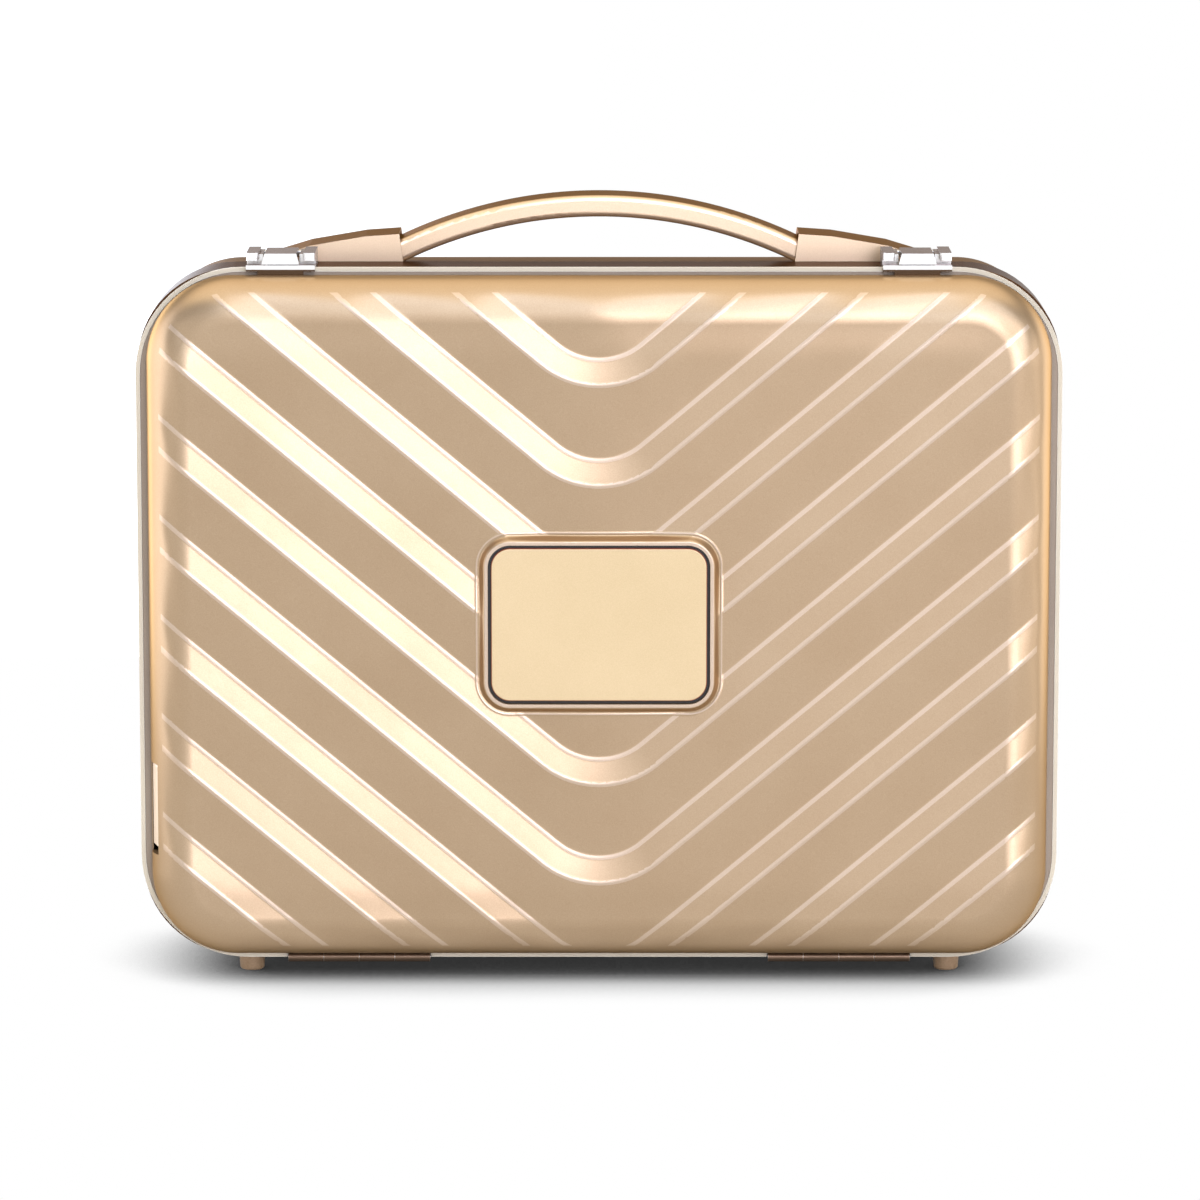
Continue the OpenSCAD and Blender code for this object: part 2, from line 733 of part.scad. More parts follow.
module base_shell() {
  drafted = base_depth - frame_back;
  color("Peru") at_case() difference() {
    union() {
      facing_back(frame_back) difference() {
        pillow(shell_w, shell_h, shell_r, drafted, base_edge_r, base_draft);
        translate([0, 0, drafted]) grooves();
      }
      facing_back(web_back) linear_extrude(frame_depth - web_t) rounded_rect(shell_w, shell_h, shell_r);
    }
    facing_back(web_back - over) linear_extrude(frame_depth - web_t + over)
      rounded_rect(shell_w - 2*shell_wall, shell_h - 2*shell_wall, shell_r - shell_wall);
    facing_back(frame_back) pillow(shell_w - 2*shell_wall, shell_h - 2*shell_wall, shell_r - shell_wall,
      drafted - shell_wall, base_edge_r - shell_wall, base_draft);
    handle_holes(screw_r + 0.1);
    foot_holes(1.6);
    frame_fastener_room();
  }
}

// Room in the shell behind the frame for rivet tails of the latches and hinges
module frame_fastener_room() {
  for (side = [-1, 1]) at_latch(side) latch_rivet_places() translate([0, 0, -shell_inset - 2])
    cylinder(h = 4, r = rivet_r + pass);
  base_rivet_places() cylinder(h = 4, r = rivet_r + pass);
}

module base_frame() {
  color("SaddleBrown") at_case() difference() {
    union() {
      facing_back(rim_depth) linear_extrude(frame_depth) ring(frame_w, frame_hgt, frame_r, frame_t);
      facing_back(rim_depth) linear_extrude(web_t) ring(frame_w, frame_hgt, frame_r, web_w);
      facing_back(web_back) linear_extrude(leg_depth)
        ring(lip_w - 2*leg_inset, lip_h - 2*leg_inset, shell_r - shell_wall - seat, frame_t);
    }
    base_rivets(rivet_r + seat, over);
    foot_holes(1.6);
    for (side = [-1, 1]) at_latch(side) latch_rivet_places() translate([0, 0, -4])
      cylinder(h = 5, r = rivet_r + seat);
  }
}

module rim_trim() {
  strip = 0.4;
  color("Ivory") at_case() difference() {
    facing_back() linear_extrude(rim_depth) ring(lip_w, lip_h, lip_r, lip_t);
    for (s = [-1, 1]) translate([s*hinge_x - hinge_len/2 - pass, 0, -over]) {
      translate([0, -over, 0]) cube([hinge_len + 2*pass, rim_depth - strip + over, lip_t + 2*over]);
      cube([hinge_len + 2*pass, rim_depth + over, frame_inset + seat + over]);
    }
  }
}

module frame_seal() {
  seal_t = 1.4;
  color("Gray") at_case() difference() {
    facing_back(rim_depth - seal_t) linear_extrude(seal_t)
      ring(lip_w - 2*lip_t - 2*seat, lip_h - 2*lip_t - 2*seat, lip_r - lip_t - seat, web_w - lip_t);
    for (s = [-1, 1]) translate([s*hinge_x - hinge_len/2 - pass, -over, -over])
      cube([hinge_len + 2*pass, 4*over, hinge_z + knuckle_r + over + pass]);
  }
}

// Lining and the space inside it
module lined_space(gap) {
  inset = lining_inset + gap;
  facing_back(web_back + gap) pillow(lip_w - 2*inset, lip_h - 2*inset, shell_r - (inset - shell_inset),
    lining_back - web_back - 2*gap, base_edge_r - shell_wall - 1.5 - gap, base_draft);
}

module base_lining() {
  inner = lining_inset + lining_t;
  color("Tan") at_case() difference() {
    lined_space(0);
    facing_back(web_back) pillow(lip_w - 2*inner, lip_h - 2*inner, shell_r - (inner - shell_inset),
      lining_back - web_back - lining_t, base_edge_r - shell_wall - 1.5 - lining_t, base_draft, over);
  }
}

module divider_space() intersection() {
  lined_space(lining_t + pass);
  translate([-lip_w/2, divider_y, 0]) cube([lip_w, base_depth, lip_h]);
}

module divider_upright(side) {
  color("Tan") at_case() intersection() {
    divider_space();
    translate([side*divider_x - divider_t/2, 0, 0]) cube([divider_t, base_depth, lip_h]);
  }
}

module divider_shelf(x0, x1, z) {
  color("Tan") at_case() intersection() {
    divider_space();
    translate([x0, 0, z - divider_t/2]) cube([x1 - x0, base_depth, divider_t]);
  }
}

// Handle: arched grip between two wedge blocks, screwed through the shell to steel plates
module grip_bar(extra, half_angle) {
  r = 2;
  w = grip_depth + 2*extra;
  t = grip_t + 2*extra;
  translate([0, handle_mid - w/2, grip_z]) rotate([90, 0, 0]) mirror([0, 0, 1])
    rotate([0, 0, 90 - half_angle]) rotate_extrude(angle = 2*half_angle)
      translate([grip_r, w/2]) rounded_rect(t, w, r);
}

module below_top_wall() at_top_wall() translate([-lip_w, -60, -20]) cube([2*lip_w, 120, 20 + seat]);

module handle_grip() {
  color("Wheat") at_case() difference() {
    grip_bar(0, asin((block_x + tenon) / grip_r));
    below_top_wall();
  }
}

module handle_block_profile() {
  lean = 2;
  low = lip_h - 6;
  top = lip_h + block_rise;
  far = block_x + block_len;
  tail = shell_top + 0.9;
  polygon([[block_x, low], [block_x + lean, top], [block_x + 0.27*block_len, top - 0.8],
    [block_x + 0.65*block_len, tail + 0.57*(top - tail)], [far, tail], [far, low]]);
}

// Socket for the grip's end, open below, where the shell closes it
module grip_socket(side) {
  room = tenon + 0.4;
  w = grip_depth + 2*seat;
  centre = grip_z + sqrt(pow(grip_r, 2) - pow(block_x + room/2, 2));
  grip_bar(seat, asin((block_x + room) / grip_r));
  mirror([side < 0 ? 1 : 0, 0, 0]) translate([block_x - over, handle_mid - w/2, lip_h - 10])
    cube([room + over, w, centre - lip_h + 10]);
}

module handle_block(side) {
  color("BurlyWood") at_case() difference() {
    mirror([side < 0 ? 1 : 0, 0, 0]) translate([0, handle_y + block_depth, 0]) rotate([90, 0, 0])
      linear_extrude(block_depth) handle_block_profile();
    grip_socket(side);
    below_top_wall();
    handle_holes(screw_r + seat);
  }
}

module handle_screw_places() for (s = [-1, 1], dx = [screw_near, screw_far]) at_top_wall()
  translate([s*(block_x + dx), handle_mid - frame_back, 0]) children();

module handle_holes(r) {
  handle_screw_places() translate([0, 0, -12]) cylinder(h = 12 + 3.4, r = r);
}

module handle_plate(side) {
  t = 1.2;
  plate_d = block_depth - 7;
  color("Silver") at_case() difference() {
    at_top_wall() translate([side*(block_x + (screw_near + screw_far)/2) - handle_plate_w/2,
      handle_mid - frame_back - plate_d/2, -shell_wall - seat - t]) cube([handle_plate_w, plate_d, t]);
    handle_holes(screw_r + 0.1);
  }
}

module handle_screws() {
  head_t = 1.6;
  under = shell_wall + seat + 1.2;
  color("Silver") at_case() handle_screw_places() translate([0, 0, -under - head_t]) {
    cylinder(h = head_t, r = 1.8*screw_r);
    cylinder(h = head_t + under + 3, r = screw_r);
  }
}

// Feet, each screwed on from inside
module foot_place(side, y) translate([side*foot_x, y, -foot_h]) children();

module foot(side, y) {
  tall = foot_h + shell_inset + (y > frame_back ? (y - frame_back)*tan(base_draft) : 0) + 2;
  color("RosyBrown") at_case() difference() {
    foot_place(side, y) rotate_extrude() polygon([[0, 0], [foot_d/2 - 0.9, 0], [foot_d/2 - 0.5, 0.5],
      [foot_d/2, foot_h], [foot_d/2, tall], [0, tall]]);
    if (y > frame_back) at_bottom_wall() translate([-lip_w, -60, 0]) cube([2*lip_w, 120, 20]);
    else translate([-lip_w, 0, frame_inset]) cube([2*lip_w, frame_back, 20]);
    foot_place(side, y) translate([0, 0, 2.4]) cylinder(h = 20, r = 1.5);
  }
}

module foot_holes(r) {
  for (s = [-1, 1], y = [foot_front_y, foot_rear_y]) foot_place(s, y) translate([0, 0, 2.4])
    cylinder(h = 20, r = r);
}

module foot_screws() {
  color("Silver") at_case() for (s = [-1, 1], y = [foot_front_y, foot_rear_y]) foot_place(s, y) {
    seat_z = foot_h + (y > frame_back
      ? shell_inset + shell_wall/cos(base_draft) + (y - frame_back + 2.5)*tan(base_draft)
      : leg_inset + frame_t);
    translate([0, 0, 3]) cylinder(h = seat_z - 3 + 1.2, r = 1.4);
    translate([0, 0, seat_z]) cylinder(h = 1.2, r = 2.5);
  }
}

lid_shell();
lid_frame();
nameplate_backing();
nameplate();
mirror_panel();
mirror_tray();
mirror_screws();
mirror_glass();
light_diffuser();
light_strip();
battery_pack();
control_board();
charge_socket();
port_housing();
port_cover_pin();
port_cover();
latch_keeper(-1);  // latch_keeper_left
latch_keeper(1);  // latch_keeper_right
lid_hinge_leaf(-1);  // lid_hinge_leaf_left
lid_hinge_leaf(1);  // lid_hinge_leaf_right
lid_hinge_rivets();
base_shell();
base_frame();
rim_trim();
frame_seal();
base_lining();
divider_upright(-1);  // divider_upright_left
divider_upright(1);  // divider_upright_right
divider_shelf(-lip_w/2, -divider_x - divider_t/2 - pass, mid_z);  // divider_shelf_left
divider_shelf(-divider_x + divider_t/2 + pass, divider_x - divider_t/2 - pass, mid_z - 36);  // divider_shelf_middle_low
divider_shelf(-divider_x + divider_t/2 + pass, divider_x - divider_t/2 - pass, mid_z + 36);  // divider_shelf_middle_high
divider_shelf(divider_x + divider_t/2 + pass, lip_w/2, mid_z);  // divider_shelf_right
handle_grip();
handle_block(-1);  // handle_block_left
handle_block(1);  // handle_block_right
handle_plate(-1);  // handle_plate_left
handle_plate(1);  // handle_plate_right
handle_screws();
latch_body(-1);  // latch_body_left
latch_body(1);  // latch_body_right
latch_pin(-1);  // latch_pin_left
latch_pin(1);  // latch_pin_right
latch_lever(-1);  // latch_lever_left
latch_lever(1);  // latch_lever_right
latch_rivets();
base_hinge_leaf(-1);  // base_hinge_leaf_left
base_hinge_leaf(1);  // base_hinge_leaf_right
hinge_pin(-1);  // hinge_pin_left
hinge_pin(1);  // hinge_pin_right
base_hinge_rivets();
foot(-1, foot_front_y);  // foot_front_left
foot(1, foot_front_y);  // foot_front_right
foot(-1, foot_rear_y);  // foot_rear_left
foot(1, foot_rear_y);  // foot_rear_right
foot_screws();
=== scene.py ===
import math

import bpy
import numpy as np
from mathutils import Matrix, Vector
from mathutils.geometry import delaunay_2d_cdt


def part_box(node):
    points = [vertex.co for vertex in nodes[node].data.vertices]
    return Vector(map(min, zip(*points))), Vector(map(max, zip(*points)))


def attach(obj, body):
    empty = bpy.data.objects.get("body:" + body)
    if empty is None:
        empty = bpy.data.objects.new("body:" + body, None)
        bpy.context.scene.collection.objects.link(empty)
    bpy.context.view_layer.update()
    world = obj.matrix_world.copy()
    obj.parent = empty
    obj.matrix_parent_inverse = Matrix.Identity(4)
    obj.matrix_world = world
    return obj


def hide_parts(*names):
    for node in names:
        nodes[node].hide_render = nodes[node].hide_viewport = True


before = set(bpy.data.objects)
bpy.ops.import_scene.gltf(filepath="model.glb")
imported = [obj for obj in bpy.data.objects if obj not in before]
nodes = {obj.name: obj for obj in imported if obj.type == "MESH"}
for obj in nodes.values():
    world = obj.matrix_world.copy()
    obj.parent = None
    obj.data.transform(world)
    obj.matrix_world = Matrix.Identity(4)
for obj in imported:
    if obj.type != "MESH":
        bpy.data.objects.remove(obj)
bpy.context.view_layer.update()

# Camera: a long lens a good two metres away, almost ten degrees above level and square to the lid.
# Places are written in millimetres, from the parting plane where the back half's bright lip begins
# and from that lip's underside, and mm turns them into metres.
mm = 0.001
lip_low, lip_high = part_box("rim_trim")
parting_y, lip_z = lip_low[1], lip_low[2]


def at_case(x, y, z):
    """A point given from the parting plane and the lip's underside, in the shared frame."""
    return Vector((x * mm, parting_y + y * mm, lip_z + z * mm))


camera_away = 2.1
camera_pitch = math.radians(9.58)
camera_data = bpy.data.cameras.new("photo_camera")
camera_data.lens = 181.4
camera_data.sensor_width = 36
camera = bpy.data.objects.new("photo_camera", camera_data)
bpy.context.scene.collection.objects.link(camera)
camera_back = Vector((0, -math.cos(camera_pitch), math.sin(camera_pitch)))
camera.location = at_case(0.34, 0, 126.9) + camera_away * camera_back
camera.rotation_euler = (math.pi / 2 - camera_pitch, 0, 0)
bpy.context.scene.camera = camera
bpy.context.scene.view_settings.view_transform = "Standard"


# Studio light: a white cove that fades to a grey ceiling, with eight soft boxes. Three stand to the
# right of the camera, the nearest small and strong, one hangs above it, and three light the sides from
# beside and behind, all of them a little cool. A wide warm one hangs over the case.
def new_shader(name, owners, output):
    """An empty material or world, with its node tree and its output node."""
    owner = owners.new(name)
    owner.use_nodes = True
    owner.node_tree.nodes.clear()
    return owner, owner.node_tree, owner.node_tree.nodes.new(output)


def add(tree, kind, inputs=(), **properties):
    """A node with its properties set, and each input given a constant or the socket that feeds it."""
    node = tree.nodes.new(kind)
    for key, value in properties.items():
        setattr(node, key, value)
    for key, value in dict(inputs).items():
        if isinstance(value, bpy.types.NodeSocket):
            tree.links.new(value, node.inputs[key])
        else:
            node.inputs[key].default_value = value
    return node


def either(tree, *names):
    """One where the ray is of any of the named kinds."""
    path = add(tree, "ShaderNodeLightPath")
    value = path.outputs[names[0]]
    for name in names[1:]:
        larger = add(tree, "ShaderNodeMath", {0: value, 1: path.outputs[name]}, operation="MAXIMUM")
        value = larger.outputs[0]
    return value


# Azimuth to the right of the camera, elevation, inner and outer half width in degrees, and light
soft_boxes = (
    (14, 8, 6, 13, (5.8, 5.7, 7.0)),
    (38, 2, 8, 20, (1.7, 1.7, 1.9)),
    (72, 4, 8, 24, (1.2, 1.2, 1.3)),
    (14, 32, 12, 32, (2.8, 3.2, 4.0)),
    (-98, -4, 22, 48, (2.1, 2.2, 2.6)),
    (-150, -4, 12, 30, (3.8, 4.2, 4.8)),
    (130, -4, 14, 34, (2.4, 2.5, 2.8)),
    (180, 86, 30, 54, (1.7, 1.55, 1.25)),
)


def build_room():
    world, tree, out = new_shader("pale_room", bpy.data.worlds, "ShaderNodeOutputWorld")
    direction = add(tree, "ShaderNodeTexCoord").outputs["Generated"]
    height = add(tree, "ShaderNodeSeparateXYZ", {0: direction}).outputs["Z"]
    fade = {"Value": height, "From Min": 0.14, "From Max": 0.47, "To Min": 1.0, "To Max": 0.3}
    walls = add(tree, "ShaderNodeMapRange", fade, interpolation_type="SMOOTHSTEP")
    level = walls.outputs["Result"]
    for azimuth, elevation, inner, outer, light in soft_boxes:
        a, e = math.radians(azimuth), math.radians(elevation)
        aim = (math.sin(a) * math.cos(e), -math.cos(a) * math.cos(e), math.sin(e))
        facing = add(tree, "ShaderNodeVectorMath", {0: direction, 1: aim}, operation="DOT_PRODUCT")
        spread = {"Value": facing.outputs["Value"], "From Min": math.cos(math.radians(outer)),
                  "From Max": math.cos(math.radians(inner))}
        soft = add(tree, "ShaderNodeMapRange", spread, interpolation_type="SMOOTHSTEP").outputs["Result"]
        total = add(tree, "ShaderNodeVectorMath", {0: soft, 1: light, 2: level}, operation="MULTIPLY_ADD")
        level = total.outputs[0]
    room = add(tree, "ShaderNodeBackground", {"Color": level})
    tree.links.new(room.outputs[0], out.inputs["Surface"])
    bpy.context.scene.world = world


build_room()


# Floor: a sheet of plain white paper that ends in the cove's white. It shows nothing but the soft
# shadow that the case throws on it, which is gone 60 mm away.
floor_half, shadow_reach = 0.6, 0.060


def build_floor():
    mesh = bpy.data.meshes.new("studio_floor")
    corners = [(x * floor_half, y * floor_half, 0) for x, y in ((-1, -1), (1, -1), (1, 1), (-1, 1))]
    mesh.from_pydata(corners, [], [(0, 1, 2, 3)])
    floor = bpy.data.objects.new("studio_floor", mesh)
    bpy.context.scene.collection.objects.link(floor)
    paper, tree, out = new_shader("white_paper", bpy.data.materials, "ShaderNodeOutputMaterial")
    open_sky = add(tree, "ShaderNodeAmbientOcclusion", {"Distance": shadow_reach}, samples=16)
    fade = {"Value": open_sky.outputs["AO"], "From Min": 0.10, "From Max": 0.70, "To Min": 0.03}
    shadow = add(tree, "ShaderNodeMapRange", fade).outputs["Result"]
    matt = add(tree, "ShaderNodeBsdfDiffuse", {"Color": (0.93, 0.93, 0.93, 1)})
    white = add(tree, "ShaderNodeEmission", {"Color": (1, 1, 1, 1), "Strength": shadow})
    seen = either(tree, "Is Camera Ray", "Is Glossy Ray", "Is Transmission Ray")
    mix = add(tree, "ShaderNodeMixShader", {"Fac": seen, 1: matt.outputs[0], 2: white.outputs[0]})
    tree.links.new(mix.outputs[0], out.inputs["Surface"])
    mesh.materials.append(paper)


build_floor()


# Lid shell: one formed sheet of plastic under champagne lacquer. Nine chevrons are pressed into its
# face, each a steep ramp and a gentle band with a bead along both edges, fading where the face turns
# over. A border stands round the nameplate's pocket, and a port window is cut into the left side. The
# beads and the border's crest and ridge are painted in a paler lacquer as a painted highlight.
mid_z = (lip_high[2] - lip_low[2]) / mm / 2


def node_size(name):
    """Width, depth and height of a node in millimetres, and its front and back from the parting plane."""
    low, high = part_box(name)
    w, d, h = ((b - a) / mm for a, b in zip(low, high))
    return w, d, h, (low[1] - parting_y) / mm, (high[1] - parting_y) / mm


def mixed(tree, factor, a, b):
    """A mix of two colours, each a socket or a plain colour."""
    mix = add(tree, "ShaderNodeMix", {0: factor}, data_type="RGBA")
    for socket, value in zip([s for s in mix.inputs if s.type == "RGBA"], (a, b)):
        if isinstance(value, tuple):
            socket.default_value = (*value, 1)
        else:
            tree.links.new(value, socket)
    return [s for s in mix.outputs if s.type == "RGBA"][0]


def pattern(name, build, scale):
    """A node group with Tint, Deep, Smoothest, Roughest and Scale inputs, and Color, Rough and Height."""
    group = bpy.data.node_groups.new(name, "ShaderNodeTree")
    face = group.interface
    for title in ("Tint", "Deep"):
        face.new_socket(title, in_out="INPUT", socket_type="NodeSocketColor")
    for title, start in (("Smoothest", 0.3), ("Roughest", 0.5), ("Scale", scale)):
        face.new_socket(title, in_out="INPUT", socket_type="NodeSocketFloat").default_value = start
    for title, kind in (("Color", "Color"), ("Rough", "Float"), ("Height", "Float")):
        face.new_socket(title, in_out="OUTPUT", socket_type="NodeSocket" + kind)
    inp, out = add(group, "NodeGroupInput"), add(group, "NodeGroupOutput")
    place = add(group, "ShaderNodeTexCoord").outputs["Object"]
    mask, height = build(group, inp, place)
    colour = mixed(group, mask, inp.outputs["Tint"], inp.outputs["Deep"])
    spread = {"Value": mask, "To Min": inp.outputs["Smoothest"], "To Max": inp.outputs["Roughest"]}
    rough = add(group, "ShaderNodeMapRange", spread).outputs["Result"]
    for title, socket in (("Color", colour), ("Rough", rough), ("Height", height)):
        group.links.new(socket, out.inputs[title])
    return group


def noise(tree, place, scale, detail=2.0):
    """Noise spread from zero to one; the scale is a number or a socket."""
    inputs = {"Vector": place, "Scale": scale, "Detail": detail, "Roughness": 0.6}
    field = add(tree, "ShaderNodeTexNoise", inputs).outputs["Fac"]
    spread = add(tree, "ShaderNodeMapRange", {"Value": field, "From Min": 0.3, "From Max": 0.7})
    return spread.outputs["Result"]


def sum_of(tree, a, b, share):
    """A mix of two values, with the given share of the second."""
    first = add(tree, "ShaderNodeMath", {0: a, 1: 1 - share}, operation="MULTIPLY").outputs[0]
    return add(tree, "ShaderNodeMath", {0: b, 1: share, 2: first}, operation="MULTIPLY_ADD").outputs[0]


def grain_nodes(tree, inp, place):
    """Fine flakes in the lacquer, over a broad drift."""
    fine = noise(tree, place, inp.outputs["Scale"])
    broad = noise(tree, place, 24.0, 3.0)
    return sum_of(tree, fine, broad, 0.4), fine


lacquer_grain = pattern("lacquer_grain", grain_nodes, 2600.0)


wear_and_highlight_reach = 0.3


def edge_wear_and_highlight_group():
    """A node group that lays a worn colour over a coat where the rounded normal leaves the true one:
    edge wear, and with it a painted highlight along the edges.
    """
    group = bpy.data.node_groups.new("edge_wear_and_highlight", "ShaderNodeTree")
    face = group.interface
    for title in ("Coat", "Worn_and_lit"):
        face.new_socket(title, in_out="INPUT", socket_type="NodeSocketColor")
    reach = face.new_socket("Reach", in_out="INPUT", socket_type="NodeSocketFloat")
    reach.default_value = wear_and_highlight_reach * mm
    face.new_socket("Color", in_out="OUTPUT", socket_type="NodeSocketColor")
    inp, out = add(group, "NodeGroupInput"), add(group, "NodeGroupOutput")
    rounded = add(group, "ShaderNodeBevel", {"Radius": inp.outputs["Reach"]}, samples=4).outputs[0]
    plain = add(group, "ShaderNodeNewGeometry").outputs["Normal"]
    same = add(group, "ShaderNodeVectorMath", {0: rounded, 1: plain}, operation="DOT_PRODUCT")
    spread = {"Value": same.outputs["Value"], "From Min": 0.99, "From Max": 0.8}
    mask = add(group, "ShaderNodeMapRange", spread)
    colour = mixed(group, mask.outputs["Result"], inp.outputs["Coat"], inp.outputs["Worn_and_lit"])
    group.links.new(colour, out.inputs["Color"])
    return group


edge_wear_and_highlight = edge_wear_and_highlight_group()


def surface(name, group, tint, deep, smooth, rough, bump=0.1, depth=0.1, scale=None, flop_shade=None, wear_and_highlight=None,
            **principled):
    """A material that takes its colour, roughness and bump from a pattern group. Flop is a darker colour
    where it turns away from the eye, the lacquer's flop and with it painted shade on the rounds; wear is
    the one along its sharp edges, edge wear and with it a painted highlight."""
    material, tree, out = new_shader(name, bpy.data.materials, "ShaderNodeOutputMaterial")
    inputs = {"Tint": (*tint, 1), "Deep": (*deep, 1), "Smoothest": smooth, "Roughest": rough}
    if scale:
        inputs["Scale"] = scale
    grain = add(tree, "ShaderNodeGroup", inputs, node_tree=group)
    colour = grain.outputs["Color"]
    # Flop: the lacquer's own flop, and with it painted shade where the surface turns from the eye
    if flop_shade:
        turned = add(tree, "ShaderNodeLayerWeight", {"Blend": 0.6})
        colour = mixed(tree, turned.outputs["Facing"], colour, flop_shade)
    # Edge wear, and with it a painted highlight along the sharp edges
    if wear_and_highlight:
        edge_worn_and_lit = add(tree, "ShaderNodeGroup", {"Coat": colour, "Worn_and_lit": (*wear_and_highlight, 1)}, node_tree=edge_wear_and_highlight)
        colour = edge_worn_and_lit.outputs["Color"]
    inputs = {"Strength": bump, "Distance": depth * mm, "Height": grain.outputs["Height"]}
    raised = add(tree, "ShaderNodeBump", inputs).outputs[0]
    inputs = {"Base Color": colour, "Roughness": grain.outputs["Rough"], "Normal": raised}
    for key, value in principled.items():
        inputs[key.replace("_", " ").title().replace("Ior", "IOR")] = value
    shader = add(tree, "ShaderNodeBsdfPrincipled", inputs)
    tree.links.new(shader.outputs[0], out.inputs["Surface"])
    return material


def lacquer(name, tint, deep, flop_shade, gleam, smooth=0.29, rough=0.35, metallic=0.75, wear_and_highlight=None):
    """Metallic lacquer over moulded plastic; gleam colours what it mirrors at a glancing angle."""
    return surface(name, lacquer_grain, tint, deep, smooth, rough, bump=0.12, depth=0.05, flop_shade=flop_shade,
                   wear_and_highlight=wear_and_highlight, metallic=metallic, specular_tint=(*gleam, 1), specular_ior_level=0.0)


shell_tint, shell_deep = (0.465, 0.342, 0.222), (0.385, 0.27, 0.165)
champagne = lacquer("champagne_lacquer", shell_tint, shell_deep, (0.38, 0.245, 0.13), (0.62, 0.49, 0.36))
# Paler lacquer for the painted highlight along the chevrons' beads and the nameplate border's crest and
# ridge
bead_highlight_lacquer = lacquer("bead_highlight_lacquer", (0.56, 0.44, 0.335), (0.50, 0.38, 0.28), (0.44, 0.29, 0.16),
                       (0.48, 0.33, 0.20), metallic=0.7)

# Chevrons: slope of the arms, step from one to the next, height of row nought's bend, width of a ramp,
# radius of the bend, depth of the relief and ease of its folds, width and height of a bead. A bead's
# middle lies bead_in below the ramp's upper edge, and next comes the share of it painted pale as a
# painted highlight.
chevron_slope = math.radians(39.8)
chevron_pitch = 34.8
chevron_first = 39.6
ramp_w = 9.2
bend_r = 22.0
relief = 1.5
ease = 0.1
bead_w, bead_h = 1.2, 0.085
bead_in = 0.5
bead_highlight_share = 0.65
rows = range(-3, 6)
band_w = chevron_pitch * math.cos(chevron_slope) - ramp_w


def smoothstep(low, high, value):
    t = np.clip((value - low) / (high - low), 0, 1)
    return t * t * (3 - 2 * t)


def soft_max(a, b, width):
    return 0.5 * (a + b + np.sqrt((a - b) ** 2 + width**2))


def soft_min(a, b, width):
    return -soft_max(-a, -b, width)


def row_distance(x, z, row):
    """Distance below a chevron's inner line, square to it; z from the lip's middle."""
    rise = z - (chevron_first + row * chevron_pitch - mid_z + bend_r)
    across = np.abs(x)
    in_bend = across * math.cos(chevron_slope) < -rise * math.sin(chevron_slope)
    arm = across * math.sin(chevron_slope) - rise * math.cos(chevron_slope)
    return np.where(in_bend, np.hypot(across, rise), arm) - bend_r


def bead_distance(x, z):
    """Distance from the middle of the nearest bead."""
    below = np.array([row_distance(x, z, row) for row in rows])
    return np.minimum(np.abs(below - bead_in), np.abs(below - ramp_w)).min(axis=0)


def chevron_depth(x, z):
    """How deep the chevrons lie under the crests."""
    depth = np.zeros_like(x)
    for row in rows:
        below = row_distance(x, z, row)
        band = np.full_like(x, band_w)
        if row + 1 in rows:
            band = np.maximum(row_distance(x, z, row + 1) - ramp_w - below, band_w)
        cut = soft_min(relief * (1 - below / ramp_w), relief * (1 + below / band), ease)
        depth = soft_max(depth, cut, ease)
    near = np.clip(bead_distance(x, z) / bead_w, 0, 1)
    return depth - bead_h * 0.5 * (1 + np.cos(math.pi * near))


def inset_of(x, z, w, h, r):
    """Distance inside a rounded rectangle about the origin, and the direction straight out."""
    qx, qz = np.abs(x) - (w / 2 - r), np.abs(z) - (h / 2 - r)
    px, pz = np.maximum(qx, 0), np.maximum(qz, 0)
    corner = np.hypot(px, pz)
    safe = np.maximum(corner, 1e-9)
    out_x = np.where(corner > 1e-9, px / safe, np.where(qx >= qz, 1.0, 0.0)) * np.sign(x)
    out_z = np.where(corner > 1e-9, pz / safe, np.where(qx < qz, 1.0, 0.0)) * np.sign(z)
    return r - corner - np.minimum(np.maximum(qx, qz), 0), out_x, out_z


def wall_height(inset, form):
    """Height of a moulded form over its open side at an inset, and its slope there."""
    edge, draft = form["edge"], math.radians(form["draft"])
    centre_y = form["depth"] - edge
    centre = centre_y * math.tan(draft) + edge / math.cos(draft)
    touch = centre - edge * math.cos(draft)
    gone = np.clip(centre - inset, 0, edge)
    dome = np.sqrt(np.maximum(edge**2 - gone**2, 1e-6))
    steep = 1 / max(math.tan(draft), 1e-3)
    height = np.where(inset < touch, inset * steep if draft else centre_y, centre_y + dome)
    return height, np.where(inset < touch, steep, gone / dome)


def pressed(x, z, form):
    """Height of a moulded face with its relief, and its normal in (x, z, out)."""
    w, h, r = form["outline"]
    inset, out_x, out_z = inset_of(x, z, w, h, r)
    height, slope = wall_height(inset, form)
    edge = form["edge"]

    def press(px, pz):
        """The relief, faded out over the round, less a slight dip along the top and the bottom."""
        gap, _, upright = inset_of(px, pz, w, h, r)
        begun = smoothstep(0.05 * edge, 0.5 * edge, gap)
        ended = smoothstep(0.8 * edge, 1.75 * edge, gap)
        crown = upright**2 * begun * (1 - ended)
        return form["relief"](px, pz) * smoothstep(0.15 * edge, 0.7 * edge, gap) - form["crown"] * crown

    step = 0.03
    tilt_x = (press(x + step, z) - press(x - step, z)) / (2 * step)
    tilt_z = (press(x, z + step) - press(x, z - step)) / (2 * step)
    normal = np.stack([slope * out_x - tilt_x, slope * out_z - tilt_z, np.ones_like(x)], axis=-1)
    return height + press(x, z), normal / np.linalg.norm(normal, axis=-1, keepdims=True)


